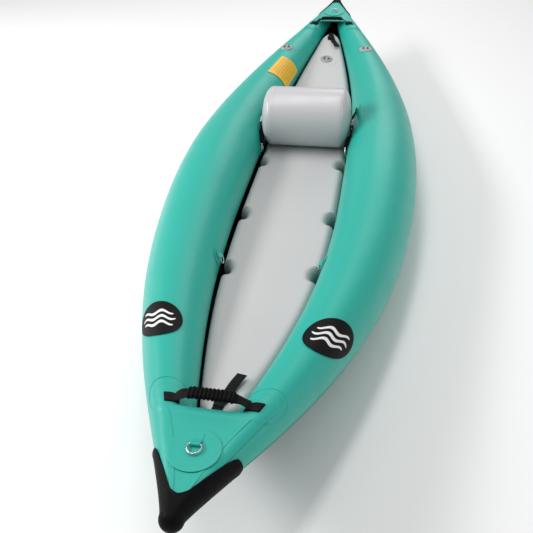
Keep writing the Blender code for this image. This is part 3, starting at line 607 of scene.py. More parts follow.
# ---- floor -----------------------------------------------------------------------
FLOOR_ROUND = 0.030
FLOOR_PANEL = 0.0011          # how far the top panel stands above its welded rim
FLOOR_SEAM = 0.016            # from the rounded edge in to the seam


def floor_half_width(x):
    cy, _, half_width, _ = section(x)
    width = cy - half_width - FLOOR_SIDE_GAP
    past = (abs(x) - (FLOOR_HALF_LENGTH - FLOOR_END_ROUND)) / FLOOR_END_ROUND
    if past > 0:
        width *= sqrt(max(0.0, 1 - past ** 2))
    for notch in NOTCH_STATIONS:
        reach = abs(x - notch) / NOTCH_HALF_WIDTH
        if reach < 1:
            width -= NOTCH_DEPTH * sqrt(1 - reach ** 2)
    return max(width, 0.004)


def seam_distance(x, y):
    """How far a point of the floor's top is from its edge, ends included."""
    side = floor_half_width(x) - abs(y)
    end = FLOOR_HALF_LENGTH - abs(x)
    for notch in NOTCH_STATIONS:
        edge = tube_inner_y(notch, 0.1) - FLOOR_SIDE_GAP
        side = min(side, hypot((x - notch) * 0.75, abs(y) - edge) - NOTCH_DEPTH * 0.9)
    return min(side, end)


def floor_ring(x):
    low, high, half = bottom_top(x) + SKIN, floor_top(x), floor_half_width(x)
    r = min(FLOOR_ROUND, (high - low) * 0.48, half * 0.85)
    edge = [(half - r, low)]
    for k in range(1, 15):
        t = pi * k / 15
        tall = low + (high - low) / 2 - (high - low) / 2 * cos(t)
        edge.append((half - r + r * sin(t) ** 0.8, tall))
    top = []
    for k in range(33):
        share = 1 - k / 16
        y = (half - r) * (1 - (1 - abs(share)) ** 1.35) * (1 if share >= 0 else -1)
        away = seam_distance(x, y)
        rise = FLOOR_PANEL * smooth((away - FLOOR_SEAM) / 0.005)
        groove = 0.0009 * exp(-((away - FLOOR_SEAM - 0.001) / 0.0022) ** 2)
        top.append((y, high - 0.0006 + rise - groove + 0.0004 * noise.noise(Vector((x * 9, y * 14, 0)))))
    bottom = [((half - r) * (k / 4 - 1), low) for k in range(1, 8)]
    ring = edge + top + [(-y, z) for y, z in reversed(edge)] + bottom
    return [Vector((x, y, z)) for y, z in ring]


def floor_stations():
    stations = set()
    for notch in NOTCH_STATIONS:
        for k in range(-14, 15):
            stations.add(round(notch + (NOTCH_HALF_WIDTH + 0.0003) * sin(pi / 2 * k / 14), 6))
    span = FLOOR_HALF_LENGTH - FLOOR_END_ROUND
    plain = [-span + 2 * span * k / 150 for k in range(151)]
    for x in plain:
        if all(abs(x - n) > NOTCH_HALF_WIDTH + 0.003 for n in NOTCH_STATIONS):
            stations.add(x)
    for end in (-1, 1):
        for k in range(1, 13):
            stations.add(end * (span + FLOOR_END_ROUND * sin(pi / 2 * k / 12)))
    return sorted(stations)


def build_floor():
    bm = bmesh.new()
    add_loft(bm, [floor_ring(x) for x in floor_stations()])
    floor = finish_piece("floor_fabric", bm, "grey_pvc", "hull", "floor_chamber", 50)
    bored(floor, Vector((FLOOR_VALVE_X, 0, floor_top(FLOOR_VALVE_X))))


# ---- ends of the hull -----------------------------------------------------------------
def build_deck(prefix, end):
    """Sheet over both tubes, its aft edge turned under in a hem."""
    rings = []
    wrap = [DECK_WRAP * (1 - k / 12) for k in range(12)]
    flat = [k / 10 for k in range(-10, 11)]
    steps = 40
    for i in range(steps + 1):
        x = DECK_START + (DECK_END - DECK_START) * i / steps
        hem = 0.0010 * smooth((0.016 - (x - DECK_START)) / 0.004)
        ring = []
        for lift in (LAY_GAP + SHEET + hem, LAY_GAP):
            cy = section(x)[0]
            row = [on_tube(x, -1, a, lift) for a in wrap]
            row += [Vector((x, cy * f, deck_height(x, cy * f, lift))) for f in flat]
            row += [on_tube(x, 1, a, lift) for a in reversed(wrap)]
            if lift > LAY_GAP:
                for point in row:
                    point.z += 0.0006 * noise.noise(Vector((x * 16, point.y * 16, 5.0)))
            ring += row if lift > LAY_GAP else list(reversed(row))
        rings.append(to_end(ring, end))
    bm = bmesh.new()
    add_loft(bm, rings)
    finish_piece(prefix + "_deck_sheet", bm, "teal_pvc", "hull", prefix + "_deck")

    bm = bmesh.new()
    for side in (-1, 1):
        rings = []
        for i in range(41):
            x = DECK_START + 0.012 + (CAP_START_TOP - DECK_START) * i / 40
            angle = radians(4) - radians(26) * sin(pi * min(1.0, i / 40)) * 0.35
            outline = strip_outline(0.0075, 0.0010)
            r = tube_radius(x)
            rings.append([on_tube(x, side, angle + a / r, LAY_GAP + SHEET + 0.0006 + b) for a, b in outline])
        add_loft(bm, [to_end(ring, end) for ring in rings])
    finish_piece(prefix + "_deck_weld_lines", bm, "teal_pvc", "hull")


def cap_start(angle):
    share = smooth(abs(degrees(angle)) / 58)
    return CAP_START_TOP + (CAP_START_SIDE - CAP_START_TOP) * share


def cap_point(x, angle, lift):
    """A point of the outline round both tubes; the angle runs from the top."""
    cy, cz, half_width, half_height = section(min(x, SPINE_HALF))
    if x > SPINE_HALF:
        nose = half_width + lift
        shrink = sqrt(max(0.0, 1 - ((x - SPINE_HALF) / nose) ** 2))
        half_width = nose * shrink - lift
        half_height = (half_height + lift) * shrink - lift
    cy = max(cy, 0.001)
    side = 1 if sin(angle) > 0 else -1
    return Vector((x, side * cy + (half_width + lift) * sin(angle), cz + (half_height + lift) * cos(angle)))


CAP_BRIDGE = (-0.8, -0.6, -0.4, -0.2, 0.0, 0.2, 0.4, 0.6, 0.8)    # shares of the way between crests


def build_nose_cap(prefix, end):
    """Moulded rubber cup; its free edge is feathered and slightly rolled."""
    sides, steps = 96, 34
    inner = LAY_GAP * 2 + SHEET
    angles = [2 * pi * (k + 0.5) / sides for k in range(sides)]
    rows = []
    layers = [(inner, range(steps, -1, -1), 0.0), (inner + CAP_WALL, range(steps + 1), 1.0)]
    for lift, order, outer in layers:
        tip = SPINE_HALF + (tube_radius(SPINE_HALF) + lift) * sin(radians(80))
        for k in order:
            share = sin(pi / 2 * k / steps)
            roll = outer * (0.0009 * exp(-((share - 0.05) / 0.03) ** 2) - 0.0014 * smooth(1 - share / 0.02))
            ring = []
            for a in angles:
                start = cap_start(a if a <= pi else a - 2 * pi)
                point = cap_point(start + (tip - start) * share, a, lift + roll)
                ring.append(Vector((end * point.x, point.y, point.z)))
            for f in CAP_BRIDGE:
                start = CAP_START_TOP + 0.006 * (1 - f * f)
                point = cap_point(start + (tip - start) * share, 0.0, lift + roll)
                reach = section(min(point.x, SPINE_HALF))[0]
                ring.append(Vector((end * point.x, f * reach, point.z)))
            rows.append(ring)
    bm = bmesh.new()
    add_loft(bm, rows)
    finish_piece(prefix + "_nose_cup", bm, "black_rubber", "hull", prefix + "_nose_cap", 50)


# ---- handles ----------------------------------------------------------------------
GRIP_RIBS = 12


def handle_axis_z():
    return on_tube(HANDLE_X, 1, 0, LAY_GAP + WEBBING).z + 0.0025


def handle_point(end, y):
    share = min(1.0, (HANDLE_SPAN - abs(y)) / (HANDLE_SPAN - 0.035))
    rise = HANDLE_RISE * sin(pi / 2 * share) ** 1.3
    return Vector((end * HANDLE_X, y, handle_axis_z() + rise))


def build_handle(prefix, end):
    """Two halves of webbing that bend between the hull and the grip, their sewn ends, and the grip."""
    for name, side in SIDES:
        bm = bmesh.new()
        path, across = [], []
        for k in range(61):
            y = side * HANDLE_SPAN * (1 - k / 60)
            point = handle_point(end, y)
            loose = sin(pi * min(1.0, (HANDLE_SPAN - abs(y)) / 0.029))
            twist = radians(16) * loose * side
            path.append(point + Vector((0, 0, 0.0025 * loose)))
            across.append(Vector((cos(twist), 0.0, sin(twist))))
        add_strip(bm, path, across, WEBBING_WIDTH, WEBBING)
        half = finish_piece(f"{prefix}_{name}_handle_strap", bm, "black_webbing", "hull", ride=False)
        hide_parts(prefix + "_handle_webbing")
        handle_axis_z()
        handle_axis_z()
        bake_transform(half)
        build_handle_pad(prefix, end, name, side)
    build_grip(prefix, end)


def build_grip(prefix, end):
    """Ribbed rubber sleeve with a flat bore that the webbing runs through."""
    rings, bore = [], []
    sides = 32
    count = GRIP_RIBS * 10
    for i in range(count + 1):
        y = GRIP_HALF_LENGTH * (2 * i / count - 1)
        point = handle_point(end, y)
        ahead = handle_point(end, y + 0.001) - handle_point(end, y - 0.001)
        normal = ahead.normalized().cross(Vector((1, 0, 0)))
        near_end = smooth((GRIP_HALF_LENGTH - abs(y)) / 0.004)
        rib = 0.5 + 0.5 * cos(2 * pi * GRIP_RIBS * i / count)
        a = 0.0122 + (0.0006 + 0.0022 * (1 - rib ** 3)) * near_end
        b = 0.0048 + (0.0006 + 0.0024 * (1 - rib ** 3)) * near_end
        for found, u, v, power in ((rings, a, b, 0.75), (bore, 0.0108, 0.0020, 0.3)):
            ring = []
            for k in range(sides):
                t = 2 * pi * (k + 0.5) / sides
                x = u * abs(cos(t)) ** power * (1 if cos(t) > 0 else -1)
                z = v * abs(sin(t)) ** power * (1 if sin(t) > 0 else -1)
                ring.append(point + Vector((x, 0, 0)) + z * normal)
            found.append(ring)
    bm = bmesh.new()
    add_loft(bm, rings + list(reversed(bore)), closed=True)
    finish_piece(prefix + "_handle_ribbed_grip", bm, "black_rubber", prefix + "_handle",
                 prefix + "_handle_grip", 60)


def build_handle_pad(prefix, end, name, side):
    """The sewn end of a handle: webbing folded double on a welded teal backing, box-stitched."""
    base = tube_surface(end * HANDLE_X, side, radians(-8), LAY_GAP)
    bm = bmesh.new()
    add_patch(bm, base, rounded_box_outline(WEBBING_WIDTH / 2, 0.0165, 0.001, 3, 6), WEBBING, 0.0006, 4)

    def fold(v):
        return 0.0011 * exp(-(v / 0.010) ** 2)

    def upper(u, v, lift):
        return base(u, v, WEBBING + 0.0002 + fold(v) + lift)
    upper_outline = rounded_box_outline(WEBBING_WIDTH / 2 - 0.0004, 0.0150, 0.001, 3, 6)
    add_patch(bm, upper, upper_outline, 0.0018, 0.0006, 4)
    finish_piece(f"{prefix}_{name}_handle_sewn_end", bm, "black_webbing", "hull",
                 f"{prefix}_{name}_handle_anchor")
    top = WEBBING + 0.0002 + 0.0018 + 0.0004
    half_u, half_v = WEBBING_WIDTH / 2 - 0.003, 0.0115

    def at(u, v):
        return base(u, v, top + fold(v))
    corners = [(half_u, half_v), (-half_u, half_v), (-half_u, -half_v), (half_u, -half_v), (half_u, half_v),
               (-half_u, -half_v), (-half_u, half_v), (half_u, -half_v)]
    line = []
    for (u0, v0), (u1, v1) in zip(corners, corners[1:]):
        line += [at(u0 + (u1 - u0) * k / 5, v0 + (v1 - v0) * k / 5) for k in range(5)]
    normal = (base(0, 0, 0.01) - base(0, 0, 0)).normalized()
    bm = bmesh.new()
    add_stitches(bm, line, normal)
    finish_piece(f"{prefix}_{name}_handle_stitching", bm, "thread", "hull")

    backing = tube_surface(end * (HANDLE_X - 0.004), side, radians(-6), 0.0004)
    bm = bmesh.new()
    add_patch(bm, backing, round_outline(0.046, 80), 0.0009, 0.0016, 8)
    for radius, lift, wire in ((0.0385, 0.0007, 0.0006), (0.0580, -0.0002, 0.0009)):
        path = [backing(u, v, lift) for u, v in round_outline(radius, 96)]
        add_wire(bm, path, wire, normal, 8, closed=True)
    finish_piece(f"{prefix}_{name}_handle_backing", bm, "teal_pvc", "hull")


# ---- rings and their patches --------------------------------------------------------------
def ring_path(squareness=1.0):
    """A D ring in the XY plane: its straight bar on the Y axis, its bow towards +X."""
    half = RING_WIDTH / 2 - RING_WIRE
    points = [Vector((0, half * 0.88 * k / 4, 0)) for k in range(-4, 5)]
    arc = 28
    for k in range(arc + 1):
        t = pi * k / arc
        x = RING_RUN * (0.28 + 0.72 * abs(sin(t)) ** squareness)
        points.append(Vector((x, half * cos(t), 0)))
    return rounded_path(points, 2, closed=True)


def wrap_path(tail, drop):
    """Tab in the XZ plane that lies flat, wraps a ring's bar and comes back below."""
    r = RING_WIRE + 0.0004 + SHEET / 2
    points = [Vector((-tail, 0, -drop)), Vector((-tail * 0.75, 0, -drop)), Vector((-tail * 0.45, 0, -drop))]
    for k in range(15):
        t = radians(128 - 256 * k / 14)
        points.append(Vector((r * cos(t), 0, r * sin(t))))
    return rounded_path(points, 2)


def build_ring(name, body, cad, centre, turn, squareness=1.0):
    bm = bmesh.new()
    path = [centre + turn @ p for p in ring_path(squareness)]
    add_wire(bm, path, RING_WIRE, turn @ Vector((0, 0, 1)), 14, closed=True)
    add_turned(bm, [(RING_WIRE * 0.7, -0.0035), (RING_WIRE * 1.12, -0.0022), (RING_WIRE * 1.16, 0.0),
                    (RING_WIRE * 1.12, 0.0022), (RING_WIRE * 0.7, 0.0035)], 14, centre,
               turn @ Matrix.Rotation(pi / 2, 3, "X"))
    finish_piece(name, bm, "steel", body, cad)


def build_end_ring(prefix, end):
    base = 3 * LAY_GAP + SHEET
    bm = bmesh.new()
    surface = deck_surface(END_PATCH_X, end, base)
    add_patch(bm, surface, round_outline(END_PATCH_RADIUS, 96), SHEET, 0.0012, 10)
    patch_top = base + SHEET
    z = deck_height(END_RING_X, 0, patch_top)
    ahead = deck_height(END_RING_X + RING_RUN + 2 * RING_WIRE, 0, patch_top)
    drop = RING_WIRE + SHEET + 0.0014
    centre = Vector((end * END_RING_X, 0, z + drop))
    tilt = Matrix.Rotation(-atan2(ahead - z, RING_RUN + 2 * RING_WIRE), 3, "Y")
    turn = Matrix.Diagonal((end, 1, 1)) @ tilt
    path = [centre + turn @ p for p in wrap_path(0.034, drop - 0.0004)]
    add_strip(bm, path, (0, 1, 0), TAB_WIDTH, TAB_SHEET)
    finish_piece(prefix + "_ring_patch_and_tab", bm, "teal_pvc", "hull", prefix + "_ring_patch")
    build_ring(prefix + "_tow_ring", prefix + "_ring", prefix + "_ring", centre, turn)

    groove = deck_surface(END_PATCH_X, end, patch_top - 0.0004)
    bm = bmesh.new()
    r = END_PATCH_RADIUS - 0.0085
    path = [groove(u, v, 0.0) for u, v in round_outline(r, 96)]
    add_wire(bm, path, 0.0006, Vector((0, 0, 1)), 6, closed=True)
    finish_piece(prefix + "_ring_patch_weld", bm, "teal_pvc", "hull")


def side_mount(x, z, side, pointing):
    """A ring's bar centre on a tube's inner side, and the turn from the ring's own frame."""
    run = tube_inner_y(x + 0.02, z) - tube_inner_y(x - 0.02, z)
    yaw = Matrix.Rotation(side * atan2(run, 0.04), 3, "Z")
    angle = tube_angle_at(x, z)
    inboard = Vector((0, side * sin(angle), cos(angle)))
    bow = Vector((pointing[0], 0, pointing[1]))
    bow = (bow - bow.dot(inboard) * inboard).normalized()
    turn = Matrix((bow, inboard.cross(bow), inboard)).transposed()
    wall = on_tube(x, side, angle, 0.0022 + SHEET)
    return wall + yaw @ inboard * SIDE_STAND, yaw @ turn


def build_side_rings():
    thigh_z = floor_top(THIGH_RING_X) + 0.036
    places = (("seat", *SEAT_RING, (-STRAP_RUN[0], -STRAP_RUN[1]), 0.18, "hull"),
              ("thigh", THIGH_RING_X, thigh_z, (0, -1), 1.0, ""))
    for place, x, z, pointing, squareness, fixed in places:
        for name, side in SIDES:
            centre, turn = side_mount(x, z, side, pointing)
            bm = bmesh.new()
            surface = tube_surface(x, side, tube_angle_at(x, z), 0.0012)
            add_patch(bm, surface, round_outline(0.0305), SHEET, 0.0012, 6)
            path = [centre + turn @ p for p in wrap_path(0.022, SIDE_STAND)]
            add_strip(bm, path, turn @ Vector((0, 1, 0)), TAB_WIDTH, TAB_SHEET)
            ring = f"{name}_{place}_ring"
            finish_piece(f"{name}_{place}_patch_and_tab", bm, "teal_pvc", "hull", ring + "_patch")
            build_ring(f"{name}_{place}_steel_ring", fixed or ring, ring, centre, turn, squareness)


# ---- straps on the floor ---------------------------------------------------------------
def build_floor_strap(prefix, end):
    """Webbing that ties the floor's end down, its ladder buckle, and the free tail."""
    def top(x):
        return floor_top(x) + LAY_GAP + WEBBING / 2 + 0.0008
    bm = bmesh.new()
    hidden = [Vector((1.300, 0, bottom_top(1.300) + 0.010)), Vector((1.268, 0, floor_top(1.245) - 0.050)),
              Vector((1.258, 0, floor_top(1.245) - 0.012)), Vector((1.240, 0, top(1.240)))]
    run = [Vector((1.232 - 0.050 * k / 8, 0, top(1.232 - 0.050 * k / 8))) for k in range(9)]
    path = rounded_path(hidden + run, 2)
    add_strip(bm, to_end(path, end), (0, 1, 0), WEBBING_WIDTH, WEBBING)
    lean = radians(9) if end > 0 else radians(15)
    tail, across = [], []
    for k in range(31):
        s = 0.118 * k / 30
        x = 1.222 - s * cos(lean)
        y = s * sin(lean) + (0.010 if end > 0 else 0.016) * (s / 0.118) ** 2
        curl = 0.0026 + 0.010 * (s / 0.118) ** 2.4 + 0.0012 * sin(s * 90)
        tail.append(Vector((end * x, y, top(x) + curl)))
        across.append(Vector((end * sin(lean), cos(lean), 0)).normalized())
    add_strip(bm, tail, across, WEBBING_WIDTH, WEBBING)
    finish_piece(prefix + "_floor_webbing", bm, "black_webbing", "hull", prefix + "_floor_strap")

    bm = bmesh.new()
    add_ladder_buckle(bm, Vector((end * 1.196, 0.001, top(1.196) + 0.0042)), Vector((-end, 0, 0)),
                      Vector((0, 1, 0)), 0.0165, 0.014)
    finish_piece(prefix + "_floor_strap_buckle", bm, "black_plastic", "hull")


def add_ladder_buckle(bm, centre, ahead, across, half_across, half_ahead):
    """A rounded frame with two bars across it, as on a webbing ladder lock."""
    over = ahead.cross(across).normalized()
    if over.z < 0:
        over = -over
    wire = 0.0021
    outline = rounded_box_outline(half_ahead - wire, half_across - wire, 0.004, 5, 3)
    path = [centre + u * ahead + v * across + 0.0006 * (u / half_ahead) ** 2 * over for u, v in outline]
    add_wire(bm, path, wire, over, 10, closed=True)
    for place in (-0.30, 0.30):
        line = [centre + place * half_ahead * ahead + (half_across - wire) * f * across + 0.0008 * over
                for f in (-1, -0.6, -0.2, 0.2, 0.6, 1)]
        add_wire(bm, line, wire * 0.8, over, 8)


# ---- valves -----------------------------------------------------------------------------
RIM = ((0.0200, 0.0014), (0.0206, 0.0023), (0.0280, 0.0024), (0.0292, 0.0021), (0.0302, 0.0014),
       (0.0305, 0.0006), (0.0305, -0.0140), (0.0245, -0.0142), (0.0240, -0.0280), (0.0204, -0.0280),
       (0.0203, -0.0212), (0.0039, -0.0210), (0.0039, -0.0182), (0.0192, -0.0180), (0.0194, 0.0006))


def cap_height(r, angle):
    """Top of a valve cap: a raised rim round a dish, with a grip bar across it."""
    rim = 0.0010 * smooth((r - 0.0150) / 0.0020)
    bar = 0.0022 * smooth((0.0042 - abs(r * sin(angle))) / 0.0012) * smooth((0.0165 - r) / 0.002)
    return 0.0034 + rim + bar


SPRING_SPAN = (-0.0172, -0.0103)
SPRING_RADII = (0.0086, 0.0044)     # a cone, so that its coils nest when the stem is pushed in


LID_EDGE = ((0.0183, -0.0040), (0.0183, 0.0026), (0.0221, 0.0027), (0.0226, 0.0032), (0.0226, 0.0040),
            (0.0220, 0.0045))
LID_TOP = (0.0205, 0.0190, 0.0178, 0.0170, 0.0162, 0.0154, 0.0145)
LID_DISH = tuple(0.0135 - 0.0012 * k for k in range(11))
LID_AROUND = 120
LID_SCALLOPS = 16
LID_SCALLOP = 0.0009
RECESS_RADIUS = 0.0168
RECESS_START = 0.0048         # half of the grip bar's width, with its fillet


def build_valve_spring(name, centre):
    """Cone spring between the valve's floor and the stem's collar; it closes as the stem goes in."""
    low, high = SPRING_SPAN
    path = []
    for k in range(73):
        share = k / 72
        t = 2 * pi * 2.5 * share
        r = SPRING_RADII[0] + (SPRING_RADII[1] - SPRING_RADII[0]) * share
        z = low + 0.0004 + (high - low - 0.0008) * smooth(share)
        path.append(centre + Vector((r * cos(t), r * sin(t), z)))
    bm = bmesh.new()
    add_wire(bm, path, 0.00035, Vector((0, 0, 1)), 8)
    spring = finish_piece(name + "_cone_spring", bm, "steel", "hull", ride=False)
    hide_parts(name + "_valve_spring")
    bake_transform(spring)


def build_valve_rim(name, centre):
    """Top of the valve's body, with twelve small domes round its flange."""
    bm = bmesh.new()
    add_turned(bm, RIM, 72, centre, closed=True)
    for k in range(12):
        t = 2 * pi * (k + 0.5) / 12
        spot = centre + Vector((0.0252 * cos(t), 0.0252 * sin(t), 0.0024))
        add_turned(bm, [(0.0001, 0.0007), (0.0011, 0.0005), (0.0015, -0.0003)], 10, spot)
    finish_piece(name + "_valve_rim", bm, "grey_plastic", "hull", name + "_valve_body")


def build_valve_lid(name, centre):
    """Scalloped grey cap with a grip bar; the dish on both sides of the bar is painted near black, a painted
    shade for the recess.
    """
    bm = bmesh.new()
    turns = [2 * pi * k / LID_AROUND for k in range(LID_AROUND)]
    rings = []
    for r, z in LID_EDGE:
        ring = []
        for t in turns:
            scallop = LID_SCALLOP * (0.5 + 0.5 * cos(LID_SCALLOPS * t)) if r > 0.02 else 0.0
            ring.append(centre + Vector(((r - scallop) * cos(t), (r - scallop) * sin(t), z)))
        rings.append(ring)
    rows = add_loft(bm, rings, capped=False)
    uv = bm.loops.layers.uv["metres"]
    last = rows[-1]
    for r in LID_TOP + LID_DISH:
        new = [bm.verts.new(centre + Vector((r * cos(t), r * sin(t), cap_height(r, t)))) for t in turns]
        for i in range(LID_AROUND):
            j = (i + 1) % LID_AROUND
            face = bm.faces.new((last[i], last[j], new[j], new[i]))
            middle = (new[i].co + new[j].co) / 2 - centre
            # faces in the dish beside the grip bar wear the painted shade
            in_painted_shade = middle.xy.length < RECESS_RADIUS and abs(middle.y) > RECESS_START
            face.material_index = 1 if in_painted_shade else 0
            for loop in face.loops:
                loop[uv].uv = (loop.vert.co - centre).xy
        last = new
    bm.faces.new(last)
    bm.faces.new(list(reversed(rows[0])))
    cap = name + "_valve_cap"
    finish_piece(name + "_valve_lid", bm, ["grey_plastic", "painted_dish_shade"], cap, cap)


def build_welded_disc(name, centre, look):
    """The ring of fabric that welds a valve into its chamber."""
    if name == "floor":
        def surface(u, v, lift):
            return Vector((centre[0] + u, v, floor_top(centre[0] + u) + 0.0008 + lift))
        radius = 0.060
    else:
        surface = tube_surface(VALVE_X, 1 if name == "port" else -1, 0.0, 0.0004)
        radius = 0.046
    bm = bmesh.new()
    rings = []
    for r, lift in ((0.0309, -0.0004), (0.0309, 0.0006), (radius * 0.8, 0.0006), (radius - 0.003, 0.0007),
                    (radius - 0.001, 0.0006), (radius, 0.0002), (radius, -0.0004)):
        rings.append([surface(u, v, lift) for u, v in round_outline(r, 96)])
    add_loft(bm, rings, closed=True)
    finish_piece(name + "_valve_welded_disc", bm, look, "hull")


def build_valve(name, centre, look):
    build_valve_rim(name, centre)
    build_valve_lid(name, centre)
    build_valve_spring(name, centre)
    build_welded_disc(name, centre, look)


# ---- backrest ----------------------------------------------------------------------------
SWELL_CAP = 0.011             # how far the simulation may move a point


def bolster_axis():
    return Vector((BOLSTER_X, 0, floor_top(BOLSTER_X) + BOLSTER_RADIUS + 0.0003))


def bolster_outline(inset):
    core = BOLSTER_HALF_LENGTH - BOLSTER_DOME
    dome = []
    for k in range(13):
        t = pi / 2 * k / 13
        dome.append(((BOLSTER_RADIUS - inset) * cos(t) ** 0.74, core + (BOLSTER_DOME - inset) * sin(t)))
    straight = [(BOLSTER_RADIUS - inset, core * f) for f in (0.75, 0.5, 0.25, 0.0, -0.25, -0.5, -0.75)]
    return [(r, -y) for r, y in reversed(dome)] + list(reversed(straight)) + dome


def inflate(source, swell_cap, voxel=0.006, pressure=4.0):
    """Cloth under pressure: a taut skin that swells and creases between its seams."""
    sim = source.copy()
    sim.data = source.data.copy()
    sim.parent = None
    bpy.context.scene.collection.objects.link(sim)
    remesh = sim.modifiers.new("remesh", "REMESH")
    remesh.mode = "VOXEL"
    remesh.voxel_size = voxel
    bpy.context.view_layer.update()
    sim.data = bpy.data.meshes.new_from_object(sim.evaluated_get(bpy.context.evaluated_depsgraph_get()))
    sim.modifiers.clear()
    rest = [v.co.copy() for v in sim.data.vertices]
    cloth = sim.modifiers.new("cloth", "CLOTH")
    settings = cloth.settings
    settings.use_pressure = True
    settings.uniform_pressure_force = pressure
    settings.effector_weights.gravity = 0.0
    settings.quality = 5
    settings.tension_stiffness = settings.compression_stiffness = 40
    settings.bending_stiffness = 2.0
    cloth.collision_settings.use_collision = False
    scene = bpy.context.scene
    for step in range(1, 21):
        scene.frame_set(step)
    solved = sim.evaluated_get(bpy.context.evaluated_depsgraph_get())
    moved = [v.co.copy() for v in solved.data.vertices]
    sim.modifiers.clear()
    scene.frame_set(1)
    for vert, before, after in zip(sim.data.vertices, rest, moved):
        shift = after - before
        if shift.length > swell_cap:
            shift *= swell_cap / shift.length
        vert.co = before + shift
    return sim


def build_bolster():
    centre = bolster_axis()
    lay = Matrix.Rotation(-pi / 2, 3, "X")
    inset = 0.006
    bm = bmesh.new()
    add_turned(bm, bolster_outline(inset), 72, centre, lay)
    bolster = finish_piece("backrest_cushion", bm, "light_pvc", "backrest", "backrest_bolster", 60,
                           ride=False)
    solved = inflate(bolster, SWELL_CAP)
    bolster.data = solved.data
    bpy.data.objects.remove(solved)
    bolster.data.materials.clear()
    bolster.data.materials.append(LOOKS["light_pvc"])
    fit_bolster(bolster, centre)
    bolster.data.shade_smooth()
    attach(bolster, "backrest")
    build_bolster_seams(bolster, centre)


def fit_bolster(bolster, centre):
    """Bring the swollen skin back to the CAD chamber's width and radius, keeping its creases."""
    far = max(abs(v.co.y) for v in bolster.data.vertices)
    wide = sorted(hypot(v.co.x - centre.x, v.co.z - centre.z) for v in bolster.data.vertices)[-50]
    for vert in bolster.data.vertices:
        vert.co.y *= (BOLSTER_HALF_LENGTH - 0.0006) / far
        for axis in (0, 2):
            away = vert.co[axis] - centre[axis]
            vert.co[axis] = centre[axis] + away * (BOLSTER_RADIUS - 0.0003) / wide


def build_bolster_seams(bolster, centre):
    """A welded rim where each end panel joins the roll, laid on the finished skin."""
    bm = bmesh.new()
    bm.from_mesh(bolster.data)
    tree = BVHTree.FromBMesh(bm)
    bm.free()
    bm = bmesh.new()
    for side in (-1, 1):
        for place, wire in ((BOLSTER_HALF_LENGTH - 0.030, 0.0010), (BOLSTER_HALF_LENGTH - 0.052, 0.0006)):
            path = []
            for k in range(120):
                t = 2 * pi * k / 120
                out = Vector((cos(t), 0, sin(t)))
                start = centre + out * 0.20 + Vector((0, side * place, 0))
                hit = tree.ray_cast(start, -out)[0]
                path.append(hit if hit else centre + out * BOLSTER_RADIUS + Vector((0, side * place, 0)))
            add_wire(bm, path, wire, Vector((0, 1, 0)), 8, closed=True)
    finish_piece("backrest_seams", bm, "light_pvc", "backrest")


def end_mount(side):
    stand = RING_WIRE + SHEET + 0.0022
    centre = bolster_axis() + Vector((0.012, side * (BOLSTER_HALF_LENGTH + 0.0003 + stand), -0.005))
    bow = Vector((STRAP_RUN[0], 0, STRAP_RUN[1])).normalized()
    outboard = Vector((0, side, 0))
    turn = Matrix((bow, outboard.cross(bow), outboard)).transposed()
    return centre, turn, stand


def racetrack(start, end, normal, thickness):
    """Doubled webbing looped round two wires: wide at the wires, pinched between them."""
    ahead = (end - start).normalized()
    length = (end - start).length
    loop = RING_WIRE + 0.0030 + thickness / 2
    points = []
    for at, first in ((0.0, 90), (length, -90)):
        for k in range(9):
            t = radians(first + 180 * k / 8)
            points.append(start + ahead * (at + loop * cos(t)) + normal * loop * sin(t))
        near, far = (0.016, length - 0.016) if at == 0 else (length - 0.016, 0.016)
        hold = -thickness if at == 0 else thickness
        points += [start + ahead * (near + (far - near) * k / 5) + normal * hold for k in range(6)]
    return rounded_path(points, 2, closed=True)


def strap_turn(place, length, side, ahead):
    """How a seat strap has turned about its own run `place` metres along it, and how far it bows out."""
    share = place / length
    twist = radians(62) * smooth((share - 0.30) / 0.28) * smooth((1.0 - share) / 0.22)
    bow_out = Vector((0, side * 0.0035 * sin(pi * max(0.0, min(1.0, share))), 0))
    return Matrix.Rotation(-side * twist, 3, ahead), bow_out


